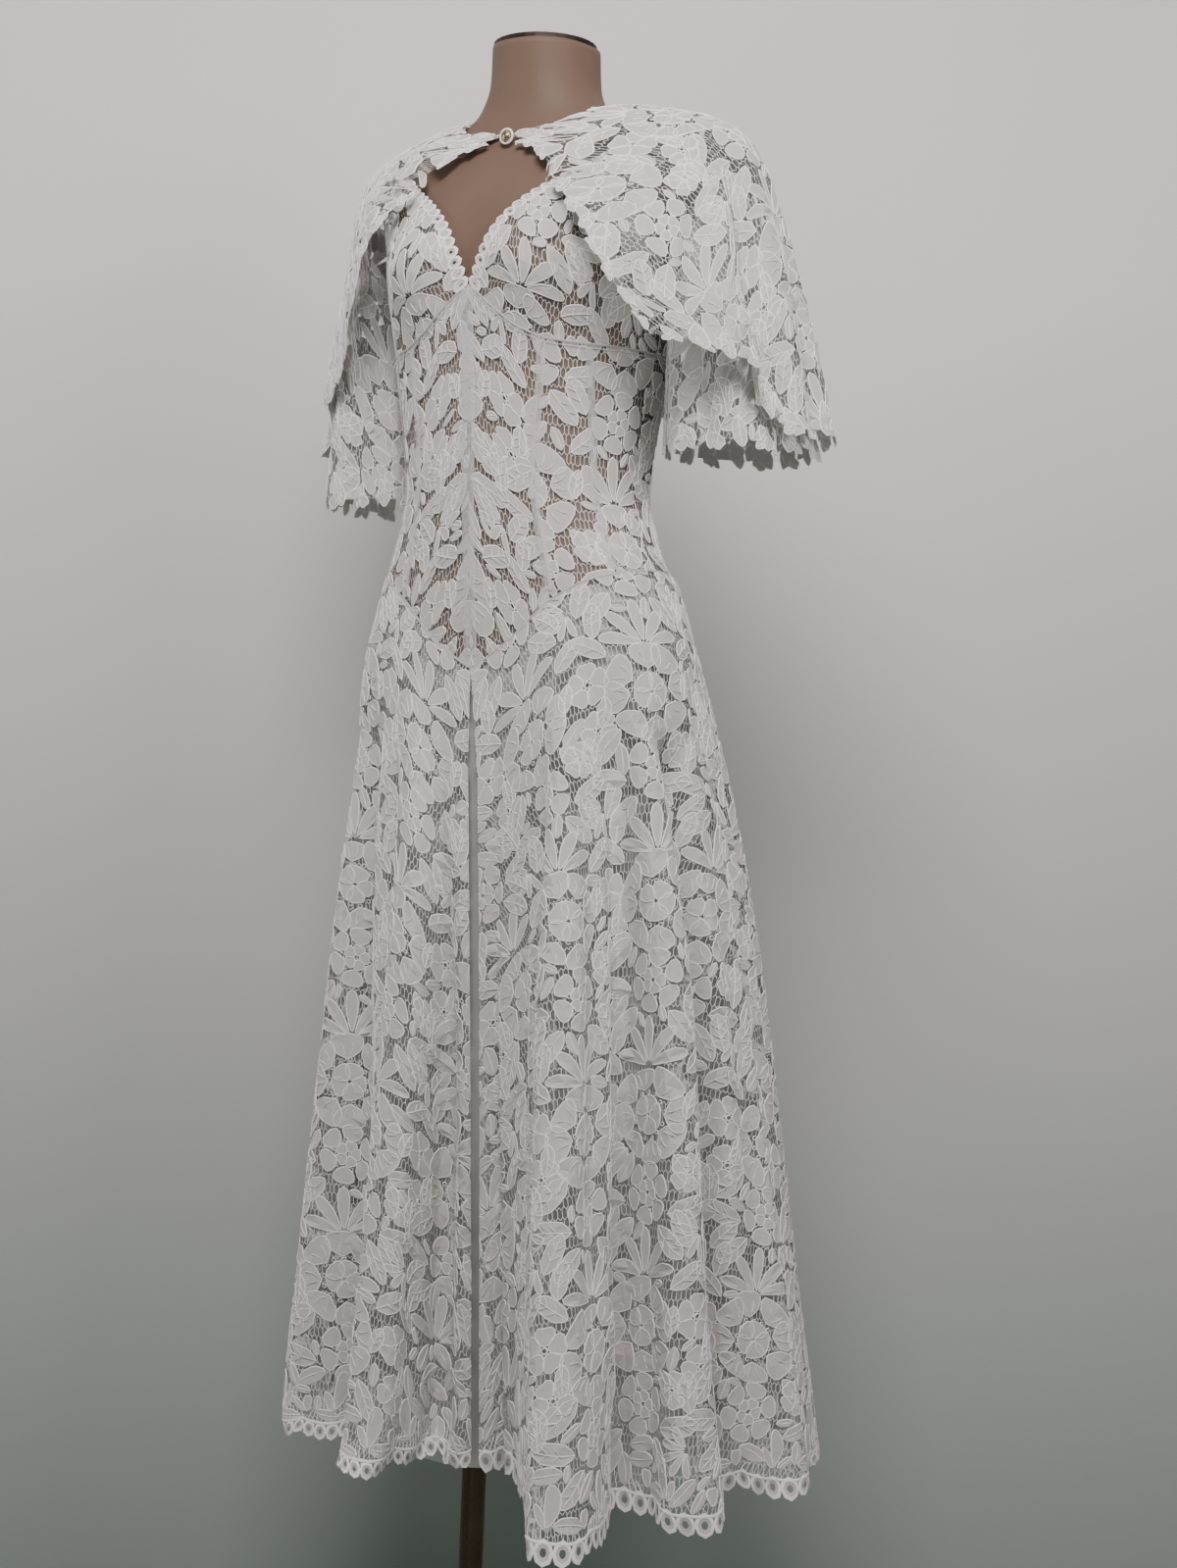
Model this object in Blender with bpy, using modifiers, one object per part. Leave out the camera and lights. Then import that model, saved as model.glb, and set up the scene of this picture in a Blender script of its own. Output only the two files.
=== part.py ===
"""White lace dress with a cape, worn by a limbless dress form on a pole stand.

Metres, +Z up. The front of the dress faces -Y and the wearer's left is +X.
The origin is the middle of the underside of the round base.
"""

import math
from collections import namedtuple

import bmesh
import bpy
from mathutils import Vector

# Largest openings cut through the lace
HOLE_WIDTH = 0.008
HOLE_HEIGHT = 0.012
HOLE_SHARE = 0.6
SKIRT_HOLE_ROWS = (4, 5, 6)
SKIRT_HOLE_STEP = 8
CAPE_HOLE_ROWS = (2, 3, 5)
CAPE_HOLE_STEP = 6
SLEEVE_HOLE_ROWS = (2, 3)
SLEEVE_HOLE_STEP = 5

# Cloth and the gaps between its pieces
LACE = 0.0013
LINING = 0.0010
TAPE = 0.0010
SEAM_GAP = 0.0004
BODICE_OFF = 0.0020
CUP_OFF = 0.0042
UPPER_BACK_OFF = 0.0062
TAPE_OFF = BODICE_OFF + LACE + 0.0006
SKIRT_OFF = 0.0036
LINING_OFF = 0.0016
CAPE_NECK_OFF = 0.0012
CAPE_OFF = UPPER_BACK_OFF + LACE + 0.0025

# Dress form: one row a level, with the half width at the sides and where its front and back lie
FormRow = namedtuple("FormRow", "height half_width front back")
FORM = [
    FormRow(0.900, 0.118, -0.028, 0.124),
    FormRow(0.930, 0.150, -0.044, 0.154),
    FormRow(0.980, 0.162, -0.050, 0.163),
    FormRow(1.030, 0.158, -0.055, 0.153),
    FormRow(1.100, 0.145, -0.062, 0.133),
    FormRow(1.150, 0.127, -0.067, 0.115),
    FormRow(1.190, 0.117, -0.070, 0.108),
    FormRow(1.240, 0.121, -0.073, 0.110),
    FormRow(1.300, 0.132, -0.077, 0.115),
    FormRow(1.360, 0.140, -0.082, 0.119),
    FormRow(1.400, 0.146, -0.081, 0.120),
    FormRow(1.440, 0.156, -0.074, 0.116),
    FormRow(1.470, 0.166, -0.062, 0.107),
    FormRow(1.495, 0.164, -0.047, 0.095),
    FormRow(1.515, 0.130, -0.037, 0.087),
    FormRow(1.535, 0.090, -0.029, 0.082),
    FormRow(1.555, 0.064, -0.024, 0.079),
    FormRow(1.580, 0.0520, -0.0235, 0.0750),
    FormRow(1.616, 0.0495, -0.0260, 0.0730),
]
FORM_MID = 0.030
FORM_SQUARENESS = 2.3
FORM_SEGMENTS = 36
BUST_SIDE = 0.072
BUST_HEIGHT = 1.392
BUST_REACH = 0.024
BUST_SPREAD = 0.043

# Stand
BASE_RADIUS = 0.180
BASE_THICK = 0.012
POLE_RADIUS = 0.0115
HUB_RADIUS = 0.024
HUB_HEIGHT = 0.040
FLANGE_RADIUS = 0.025
FLANGE_THICK = 0.008
NECK_CAP_THICK = 0.004

# Seams round the body: one row for each angle from the centre front, in degrees
SeamRow = namedtuple("SeamRow", "angle height")
WAIST_SEAM = [
    SeamRow(0, 1.022),
    SeamRow(12, 1.046),
    SeamRow(31, 1.086),
    SeamRow(52, 1.106),
    SeamRow(90, 1.116),
    SeamRow(135, 1.108),
    SeamRow(180, 1.098),
]
BUST_SEAM = [
    SeamRow(0, 1.372),
    SeamRow(9, 1.352),
    SeamRow(20, 1.332),
    SeamRow(34, 1.321),
    SeamRow(55, 1.318),
    SeamRow(90, 1.318),
    SeamRow(180, 1.320),
]

# Bodice panel edges: angle from the centre front at the upper seam, the waist and the lower seam
EdgeRow = namedtuple("EdgeRow", "upper waist lower")
PANEL_EDGES = {
    "centre": EdgeRow(0, 0, 0),
    "mid": EdgeRow(29, 30, 30),
    "side": EdgeRow(49, 61, 64),
    "underarm": EdgeRow(88, 88, 88),
    "shoulder_blade": EdgeRow(136, 140, 140),
    "back": EdgeRow(180, 180, 180),
}
PANELS = [
    ("bodice_front_centre", "centre", "mid"),
    ("bodice_front_mid", "mid", "side"),
    ("bodice_front_side", "side", "underarm"),
    ("bodice_back_side", "underarm", "shoulder_blade"),
    ("bodice_back_centre", "shoulder_blade", "back"),
]
WAIST_HEIGHT = 1.190
PANEL_TOP = 1.33
PANEL_BOTTOM = 1.09
PANEL_ROUNDS = 3
BODICE_COLUMNS = 4
BODICE_ROWS = 9
CHANNEL_WIDTH = 0.009
CHANNEL_SPAN = 4
CHANNEL_ABOVE_WAIST_SEAM = 0.004
CHANNEL_BELOW_BUST_SEAM = 0.003
CUP_COLUMNS = 8
CUP_ROWS = 8
UPPER_BACK_COLUMNS = 6
UPPER_BACK_ROWS = 7
UPPER_RISE = 4

# Upper bodice outlines: angle from the centre front in degrees, and height
OutlineRow = namedtuple("OutlineRow", "angle height")
NECKLINE = [
    OutlineRow(1.0, 1.388),
    OutlineRow(4, 1.410),
    OutlineRow(9, 1.434),
    OutlineRow(17, 1.455),
    OutlineRow(29, 1.476),
    OutlineRow(48, 1.500),
    OutlineRow(89.3, 1.529),
]
ARMHOLE_FRONT = [
    OutlineRow(88, 1.322),
    OutlineRow(88, 1.386),
    OutlineRow(74, 1.420),
    OutlineRow(66, 1.460),
    OutlineRow(74, 1.495),
    OutlineRow(89.3, 1.512),
]
ARMHOLE_BACK = [
    OutlineRow(88.4, 1.322),
    OutlineRow(89, 1.386),
    OutlineRow(104, 1.420),
    OutlineRow(112, 1.460),
    OutlineRow(106, 1.495),
    OutlineRow(90.7, 1.512),
]
BACK_NECK = [
    OutlineRow(180, 1.324),
    OutlineRow(180, 1.420),
    OutlineRow(179.8, 1.480),
    OutlineRow(150, 1.505),
    OutlineRow(90.7, 1.529),
]

# Skirt hem seen from above: angle about the hem's middle (front is -90), reach and height
FoldRow = namedtuple("FoldRow", "angle reach height")
HEM_FOLDS = [
    FoldRow(-78, 0.160, 0.285),
    FoldRow(-66, 0.115, 0.292),
    FoldRow(-50, 0.318, 0.262),
    FoldRow(-34, 0.212, 0.276),
    FoldRow(-21, 0.285, 0.266),
    FoldRow(-3, 0.190, 0.274),
    FoldRow(16, 0.275, 0.262),
    FoldRow(33, 0.228, 0.264),
    FoldRow(52, 0.305, 0.252),
    FoldRow(68, 0.246, 0.252),
    FoldRow(84, 0.310, 0.244),
    FoldRow(99, 0.250, 0.247),
    FoldRow(114, 0.314, 0.245),
    FoldRow(130, 0.238, 0.256),
    FoldRow(146, 0.294, 0.260),
    FoldRow(162, 0.205, 0.272),
    FoldRow(178, 0.270, 0.272),
    FoldRow(188, 0.230, 0.280),
    FoldRow(197, 0.262, 0.280),
    FoldRow(207, 0.205, 0.286),
    FoldRow(218, 0.234, 0.284),
    FoldRow(236, 0.150, 0.292),
    FoldRow(254, 0.232, 0.284),
    FoldRow(269, 0.142, 0.292),
    FoldRow(282, 0.160, 0.285),
]
HEM_MIDDLE = Vector((0.0, 0.100, 0.0))
HEM_MEAN_SIDE = 0.235
HEM_MEAN_BACK_GAIN = 0.045
QUARTERS = [
    ("skirt_front_left", -78, 16, 0, 90),
    ("skirt_back_left", 16, 84, 90, 180),
    ("skirt_back_right", 84, 197, 180, 270),
    ("skirt_front_right", 197, 282, 270, 360),
]
ARCHES_PER_QUARTER = 10
CELLS_PER_ARCH = 3
ARCH_DROP = 0.010
SKIRT_ROWS = [0.0, 0.045, 0.095, 0.155, 0.30, 0.50, 0.70, 0.87, 0.955, 1.0]
SPREAD_POWER = 0.72
FOLD_POWER = 1.1
HIP_EASE = 0.0065
HIP_EASE_BY = 0.08
SLIT_HALF = 0.005
SLIT_TURN = 0.012
SLIT_BY = 0.12
SKIRT_INSIDE = Vector((0, 0.08, 0.7))
HEM_SAMPLES = 400

# Lining hem, gentler than the lace and inside its hollows
LINING_HEM = [
    FoldRow(-90, 0.124, 0.272),
    FoldRow(-66, 0.098, 0.270),
    FoldRow(-50, 0.165, 0.266),
    FoldRow(-34, 0.188, 0.266),
    FoldRow(-3, 0.172, 0.266),
    FoldRow(16, 0.200, 0.262),
    FoldRow(52, 0.228, 0.258),
    FoldRow(99, 0.234, 0.254),
    FoldRow(130, 0.218, 0.258),
    FoldRow(162, 0.188, 0.262),
    FoldRow(197, 0.194, 0.268),
    FoldRow(236, 0.132, 0.272),
    FoldRow(254, 0.128, 0.272),
    FoldRow(270, 0.124, 0.272),
]
LINING_ROWS = [0.0, 0.045, 0.095, 0.155, 0.30, 0.60, 1.0]
LINING_CELLS = 20
LINING_NARROWER = 0.045
LINING_BELOW = 0.006

# Cape: one row a section, from the front edge round to the centre back, x counted outward.
# neck_angle is measured from the centre front; the points run from the neck out to the hem.
CapeRow = namedtuple("CapeRow", "neck_angle neck_height upper shoulder arm hem")
CAPE_LEFT = [
    CapeRow(0.5, 1.519, (0.052, -0.056, 1.489), (0.116, -0.088, 1.430), (0.158, -0.098, 1.372),
            (0.199, -0.085, 1.314)),
    CapeRow(25, 1.528, (0.084, -0.038, 1.513), (0.163, -0.058, 1.462), (0.198, -0.068, 1.392),
            (0.232, -0.050, 1.310)),
    CapeRow(50, 1.540, (0.108, 0.000, 1.540), (0.192, -0.010, 1.498), (0.225, -0.014, 1.410),
            (0.258, -0.007, 1.292)),
    CapeRow(66, 1.547, (0.113, 0.018, 1.549), (0.204, 0.014, 1.514), (0.236, 0.014, 1.428),
            (0.270, 0.030, 1.246)),
    CapeRow(90, 1.552, (0.115, 0.034, 1.553), (0.208, 0.038, 1.520), (0.242, 0.050, 1.436),
            (0.286, 0.076, 1.248)),
    CapeRow(118, 1.556, (0.108, 0.060, 1.551), (0.186, 0.080, 1.512), (0.214, 0.096, 1.428),
            (0.256, 0.136, 1.246)),
    CapeRow(148, 1.556, (0.076, 0.096, 1.532), (0.132, 0.122, 1.478), (0.168, 0.144, 1.392),
            (0.190, 0.168, 1.258)),
    CapeRow(179.6, 1.555, (0.0004, 0.106, 1.512), (0.0004, 0.128, 1.455), (0.0004, 0.140, 1.380),
            (0.0004, 0.150, 1.300)),
]
CAPE_RIGHT = [
    CapeRow(0.5, 1.519, (0.050, -0.055, 1.490), (0.100, -0.080, 1.448), (0.125, -0.084, 1.412),
            (0.138, -0.078, 1.376)),
    CapeRow(25, 1.528, (0.084, -0.036, 1.513), (0.140, -0.054, 1.474), (0.164, -0.056, 1.412),
            (0.180, -0.040, 1.330)),
    CapeRow(50, 1.540, (0.108, 0.000, 1.540), (0.176, -0.012, 1.500), (0.194, -0.012, 1.420),
            (0.222, 0.000, 1.276)),
    CapeRow(66, 1.547, (0.113, 0.018, 1.549), (0.190, 0.014, 1.512), (0.212, 0.014, 1.426),
            (0.248, 0.026, 1.246)),
    CapeRow(90, 1.552, (0.115, 0.034, 1.553), (0.196, 0.038, 1.517), (0.226, 0.050, 1.430),
            (0.268, 0.076, 1.246)),
    CapeRow(118, 1.556, (0.108, 0.060, 1.551), (0.180, 0.080, 1.510), (0.210, 0.100, 1.424),
            (0.246, 0.136, 1.246)),
    CapeRow(148, 1.556, (0.076, 0.096, 1.532), (0.132, 0.122, 1.478), (0.168, 0.144, 1.392),
            (0.190, 0.168, 1.258)),
    CapeRow(179.6, 1.555, (0.0004, 0.106, 1.512), (0.0004, 0.128, 1.455), (0.0004, 0.140, 1.380),
            (0.0004, 0.150, 1.300)),
]
CAPE_CELLS = 22
CAPE_LENGTHS = 7
CAPE_LIFT_FROM = 1.475
CAPE_RIPPLE = 0.005
CAPE_RIPPLES = 5
PETAL_DROP = 0.007

# Bell sleeve under the cape, wearer's left
SLEEVE_UNDERARM_HEIGHT = 1.385
SLEEVE_TOP = Vector((0.207, 0.045, 1.474))
SLEEVE_TOP_HALF_DEPTH = 0.052
SLEEVE_HEM_MIDDLE = Vector((0.204, 0.070, 1.232))
SLEEVE_HEM_HALF_WIDTH = 0.068
SLEEVE_HEM_HALF_DEPTH = 0.074
SLEEVE_CELLS = 12
SLEEVE_LENGTHS = 5
SLEEVE_RIGHT_REACH = 0.93
SLEEVE_RIGHT_LOWER = 0.042
SLEEVE_SEAM_TURN = 0.3

# Button and loop at the front of the neck
BUTTON_RADIUS = 0.0052
BUTTON_AT = Vector((0.0060, -0.0433, 1.5185))
LOOP_RADIUS = 0.0067
LOOP_CORD = 0.0011

WHITE_LACE = (0.86, 0.86, 0.85)
WHITE_LINING = (0.74, 0.75, 0.74)
FORM_SKIN = (0.42, 0.33, 0.27)
DARK_BRONZE = (0.060, 0.045, 0.035)
BUTTON_GOLD = (0.58, 0.43, 0.26)


def slopes_of(places, values):
    """Slopes at each row of a table, level at its highs and lows so that no curve overshoots."""
    count = len(places)
    rates = [(values[i + 1] - values[i]) / (places[i + 1] - places[i]) for i in range(count - 1)]
    slopes = [rates[0]]
    for before, after in zip(rates, rates[1:]):
        same_way = before * after > 0
        slopes.append(2 * before * after / (before + after) if same_way else 0.0)
    slopes.append(rates[-1])
    return slopes


def read_curve(places, values, place):
    """Value of a smooth curve through the rows of a table."""
    place = min(max(place, places[0]), places[-1])
    index = max(i for i in range(len(places) - 1) if places[i] <= place)
    slopes = slopes_of(places, values)
    width = places[index + 1] - places[index]
    t = (place - places[index]) / width
    return (values[index] * (2 * t ** 3 - 3 * t ** 2 + 1)
            + values[index + 1] * (3 * t ** 2 - 2 * t ** 3)
            + slopes[index] * width * (t ** 3 - 2 * t ** 2 + t)
            + slopes[index + 1] * width * (t ** 3 - t ** 2))


def read_table(rows, place):
    """All the later columns of a table of named rows, at a value of its first column."""
    places = [row[0] for row in rows]
    columns = list(zip(*rows))[1:]
    return [read_curve(places, column, place) for column in columns]


def signed_power(value, power):
    return math.copysign(abs(value) ** power, value)


def form_point(angle, height):
    """Point of the dress form; angle in degrees from the centre front, round by the wearer's left."""
    half_width, front, back = read_table(FORM, height)
    turn = math.radians(angle - 90)
    power = 2 / FORM_SQUARENESS
    x = half_width * signed_power(math.cos(turn), power)
    reach = FORM_MID - front if math.sin(turn) < 0 else back - FORM_MID
    y = FORM_MID + reach * signed_power(math.sin(turn), power)
    if math.sin(turn) < 0:
        away = math.hypot(abs(x) - BUST_SIDE, height - BUST_HEIGHT) / BUST_SPREAD
        y -= BUST_REACH * math.exp(-away ** 2) * -math.sin(turn)
    return Vector((x, y, height))


def on_form(angle, height, off):
    """Point that stands off the dress form, along its own outward direction."""
    step = 0.5
    lift = 0.002
    around = form_point(angle + step, height) - form_point(angle - step, height)
    up = form_point(angle, height + lift) - form_point(angle, height - lift)
    return form_point(angle, height) + around.cross(up).normalized() * off


def clear_of_form(point, gap):
    """The point itself, or where it would sink into the dress form, the point moved out level with it."""
    if not FORM[0].height <= point.z <= FORM[-1].height:
        return point
    size = share_of_form(point, gap)
    if size >= 1:
        return point
    scale = 1 / max(size, 0.05)
    return Vector((point.x * scale, FORM_MID + (point.y - FORM_MID) * scale, point.z))


def share_of_form(point, gap):
    """Below 1 inside the dress form grown by the gap, above 1 outside it."""
    half_width, front, back = read_table(FORM, point.z)
    reach = FORM_MID - front if point.y < FORM_MID else back - FORM_MID
    across = abs(point.x) / (half_width + gap)
    along = abs(point.y - FORM_MID) / (reach + gap)
    return (across ** FORM_SQUARENESS + along ** FORM_SQUARENESS) ** (1 / FORM_SQUARENESS)


def lifted_off_form(point, gap):
    """The point, raised where it would sink into the shoulders of the dress form."""
    lower = Vector((point.x, point.y, point.z - gap))
    while lower.z < FORM[-1].height and share_of_form(lower, gap) < 1:
        lower.z += 0.001
    return Vector((point.x, point.y, lower.z + gap))


def seam_height(rows, angle):
    """Height of a seam, the same on both sides of the body."""
    around = angle % 360
    return read_table(rows, min(around, 360 - around))[0]


def make_material(name, colour, roughness, metallic=0.0):
    material = bpy.data.materials.new(name)
    material.use_nodes = True
    shader = material.node_tree.nodes["Principled BSDF"]
    shader.inputs["Base Color"].default_value = (*colour, 1.0)
    shader.inputs["Roughness"].default_value = roughness
    shader.inputs["Metallic"].default_value = metallic
    return material


def add_object(name, mesh, material, collection):
    mesh.materials.append(material)
    thing = bpy.data.objects.new(name, mesh)
    collection.objects.link(thing)
    return thing


def mesh_from(name, points, faces):
    mesh = bpy.data.meshes.new(name)
    mesh.from_pydata([tuple(point) for point in points], [], faces)
    mesh.update()
    return mesh


def turned_piece(name, profile, steps, material, collection):
    """Solid turned about the upright axis from (radius, height) pairs, top to bottom on its outer side."""
    mesh = bpy.data.meshes.new(name)
    edges = [(i, i + 1) for i in range(len(profile) - 1)]
    mesh.from_pydata([(radius, 0.0, height) for radius, height in profile], edges, [])
    thing = add_object(name, mesh, material, collection)
    screw = thing.modifiers.new("Turn", "SCREW")
    screw.steps = steps
    screw.render_steps = steps
    screw.use_merge_vertices = True
    screw.merge_threshold = 0.00001
    screw.use_smooth_shade = True
    return thing


def grid_faces(columns, rows, holes, points):
    """Faces of a sheet of cells; a cell listed in holes gets an opening inside it."""
    faces = []
    for column in range(columns):
        for row in range(rows):
            first = column * (rows + 1) + row
            corners = [first, first + rows + 1, first + rows + 2, first + 1]
            if (column, row) not in holes:
                faces.append(corners)
                continue
            a, b, c, d = [points[corner] for corner in corners]
            middle = (a + b + c + d) / 4
            across = (b + c - a - d) / 2
            along = (c + d - a - b) / 2
            across *= min(HOLE_SHARE, HOLE_WIDTH / across.length) / 2
            along *= min(HOLE_SHARE, HOLE_HEIGHT / along.length) / 2
            inner = list(range(len(points), len(points) + 4))
            points += [middle - across - along, middle + across - along,
                       middle + across + along, middle - across + along]
            for k in range(4):
                faces.append([corners[k], corners[(k + 1) % 4], inner[(k + 1) % 4], inner[k]])
    return faces


def cloth_piece(name, grid, thickness, material, collection, inside, holes=(), grow=1.0):
    """Wall of cloth from a grid of points (columns of rows), thickened away from the point inside."""
    columns = len(grid) - 1
    rows = len(grid[0]) - 1
    points = [Vector(point) for column in grid for point in column]
    faces = grid_faces(columns, rows, set(holes), points)
    mesh = mesh_from(name, points, faces)
    outward = sum(face.normal.dot(face.center - inside) * face.area for face in mesh.polygons)
    if outward < 0:
        mesh.flip_normals()
    mesh.shade_smooth()
    thing = add_object(name, mesh, material, collection)
    wall = thing.modifiers.new("Wall", "SOLIDIFY")
    wall.thickness = thickness
    wall.offset = grow
    return thing


def steps_between(first, last, count):
    return [first + (last - first) * i / count for i in range(count + 1)]


def build_form(collection):
    """Torso and neck as one closed body, lofted through level rings."""
    skin = make_material("Form skin", FORM_SKIN, 0.55)
    heights = []
    for low, high in zip(FORM, FORM[1:]):
        parts = 2 if high.height - low.height > 0.035 else 1
        heights += steps_between(low.height, high.height, parts)[:-1]
    heights.append(FORM[-1].height)
    angles = [360 * i / FORM_SEGMENTS for i in range(FORM_SEGMENTS)]
    points = [form_point(angle, height) for height in heights for angle in angles]
    faces = []
    for ring in range(len(heights) - 1):
        for i in range(FORM_SEGMENTS):
            following = (i + 1) % FORM_SEGMENTS
            low = ring * FORM_SEGMENTS
            high = low + FORM_SEGMENTS
            faces.append([low + i, low + following, high + following, high + i])
    top = (len(heights) - 1) * FORM_SEGMENTS
    faces.append(list(reversed(range(FORM_SEGMENTS))))
    faces.append(list(range(top, top + FORM_SEGMENTS)))
    mesh = mesh_from("form_torso", points, faces)
    mesh.shade_smooth()
    add_object("form_torso", mesh, skin, collection)
    build_neck_cap(collection)


def build_neck_cap(collection):
    """Thin dark lid on the flat top of the neck."""
    dark = make_material("Neck cap edge", DARK_BRONZE, 0.5)
    row = FORM[-1]
    bm = bmesh.new()
    bmesh.ops.create_cone(bm, cap_ends=True, segments=32, radius1=row.half_width, radius2=row.half_width,
                          depth=NECK_CAP_THICK)
    mesh = bpy.data.meshes.new("form_neck_cap")
    bm.to_mesh(mesh)
    bm.free()
    cap = add_object("form_neck_cap", mesh, dark, collection)
    cap.location = (0, (row.front + row.back) / 2, row.height + SEAM_GAP + NECK_CAP_THICK / 2)


def build_stand(collection):
    bronze = make_material("Dark bronze", DARK_BRONZE, 0.3, 1.0)
    edge = 0.003
    hub_top = BASE_THICK + HUB_HEIGHT
    turned_piece("stand_base", [
        (0.0, hub_top), (HUB_RADIUS * 0.8, hub_top), (HUB_RADIUS, hub_top - edge),
        (HUB_RADIUS, BASE_THICK), (BASE_RADIUS - edge, BASE_THICK), (BASE_RADIUS, BASE_THICK - edge),
        (BASE_RADIUS, 0.0), (0.0, 0.0)], 40, bronze, collection)
    flange_low = FORM[0].height - SEAM_GAP - FLANGE_THICK
    turned_piece("stand_flange", [
        (0.0, flange_low + FLANGE_THICK), (FLANGE_RADIUS, flange_low + FLANGE_THICK),
        (FLANGE_RADIUS, flange_low), (0.0, flange_low)], 24, bronze, collection)
    pole_low = hub_top + SEAM_GAP
    pole_high = flange_low - SEAM_GAP
    turned_piece("stand_pole", [
        (0.0, pole_high), (POLE_RADIUS, pole_high), (POLE_RADIUS, pole_low), (0.0, pole_low)],
        20, bronze, collection)


def panel_edge(name, height):
    """Angle of a bodice seam at a height between its two ends."""
    edge = PANEL_EDGES[name]
    return read_curve([PANEL_BOTTOM, WAIST_HEIGHT, PANEL_TOP], [edge.lower, edge.waist, edge.upper], height)


def bodice_grid(side, first, last):
    """Points of one bodice panel, half a seam gap in from the seams all round it."""
    grid = []
    for across in steps_between(0.0, 1.0, BODICE_COLUMNS):
        column = []
        for up in steps_between(0.0, 1.0, BODICE_ROWS):
            low = PANEL_BOTTOM
            high = PANEL_TOP
            for _ in range(PANEL_ROUNDS):
                height = low + SEAM_GAP + (high - low - 2 * SEAM_GAP) * up
                start = panel_edge(first, height)
                end = panel_edge(last, height)
                narrow = math.degrees(SEAM_GAP / read_table(FORM, height)[0])
                angle = start + narrow + (end - start - 2 * narrow) * across
                low = seam_height(WAIST_SEAM, angle)
                high = seam_height(BUST_SEAM, angle)
            column.append(on_form(side * angle, height, BODICE_OFF))
        grid.append(column)
    return grid


def build_bodice(lace, tape, collection):
    middle = Vector((0, FORM_MID, WAIST_HEIGHT))
    for side, label in ((1, "left"), (-1, "right")):
        for name, first, last in PANELS:
            cloth_piece(f"{name}_{label}", bodice_grid(side, first, last), LACE, lace, collection, middle)
        for name in ("mid", "side"):
            build_channel(f"channel_{name}_{label}", side, name, tape, collection)
    build_channel("channel_centre", 1, "centre", tape, collection)


def build_channel(name, side, seam, tape, collection):
    """Narrow tape that covers a bone along one seam of the bodice."""
    grid = []
    for across in (-0.5, 0.5):
        column = []
        for up in steps_between(0.0, 1.0, BODICE_ROWS):
            angle = PANEL_EDGES[seam].waist
            for _ in range(PANEL_ROUNDS):
                low = seam_height(WAIST_SEAM, angle + CHANNEL_SPAN) + CHANNEL_ABOVE_WAIST_SEAM
                high = seam_height(BUST_SEAM, angle) - CHANNEL_BELOW_BUST_SEAM
                height = low + (high - low) * up
                angle = panel_edge(seam, height)
            turn = math.degrees(across * CHANNEL_WIDTH / read_table(FORM, height)[0])
            column.append(on_form(side * angle + turn, height, TAPE_OFF))
        grid.append(column)
    cloth_piece(name, grid, TAPE, tape, collection, Vector((0, FORM_MID, WAIST_HEIGHT)))


def outline_at(rows, t):
    """Angle and height along an outline, t from 0 to 1 by its rows."""
    places = list(range(len(rows)))
    place = t * (len(rows) - 1)
    return (read_curve(places, [row.angle for row in rows], place),
            read_curve(places, [row.height for row in rows], place))


def patch_grid(side, inner, outer, columns, rows, off):
    """Points of an upper piece between two outlines, from the bust seam to the shoulder."""
    grid = []
    for across in steps_between(0.0, 1.0, columns):
        seam_angle = inner[0].angle + (outer[0].angle - inner[0].angle) * across
        seam_level = inner[0].height + (outer[0].height - inner[0].height) * across
        drop = seam_height(BUST_SEAM, seam_angle) + SEAM_GAP - seam_level
        column = []
        for up in steps_between(0.0, 1.0, rows):
            start = outline_at(inner, up)
            end = outline_at(outer, up)
            angle = start[0] + (end[0] - start[0]) * across
            height = start[1] + (end[1] - start[1]) * across + drop * (1 - up) ** 2
            lift = BODICE_OFF + (off - BODICE_OFF) * min(1.0, up * UPPER_RISE)
            column.append(on_form(side * angle, height, lift))
        grid.append(column)
    return grid


def build_upper_bodice(lace, collection):
    middle = Vector((0, FORM_MID, BUST_HEIGHT))
    for side, label in ((1, "left"), (-1, "right")):
        front = patch_grid(side, NECKLINE, ARMHOLE_FRONT, CUP_COLUMNS, CUP_ROWS, CUP_OFF)
        cloth_piece(f"cup_{label}", front, LACE, lace, collection, middle)
        back = patch_grid(side, ARMHOLE_BACK, BACK_NECK, UPPER_BACK_COLUMNS, UPPER_BACK_ROWS, UPPER_BACK_OFF)
        cloth_piece(f"bodice_upper_back_{label}", back, LACE, lace, collection, middle)


def hem_point(rows, angle):
    """Point of a hem from its table of folds; rounded at each crest and hollow."""
    reach, height = read_table(rows, angle)
    turn = math.radians(angle)
    return HEM_MIDDLE + Vector((reach * math.cos(turn), reach * math.sin(turn), height))


def even_angles(rows, first, last, cells):
    """Angles that part a stretch of a hem into lengths of equal cloth."""
    fine = steps_between(first, last, HEM_SAMPLES)
    points = [hem_point(rows, angle) for angle in fine]
    run = [0.0]
    for a, b in zip(points, points[1:]):
        run.append(run[-1] + (b - a).length)
    return [read_curve(run, fine, run[-1] * i / cells) for i in range(cells + 1)]


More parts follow.
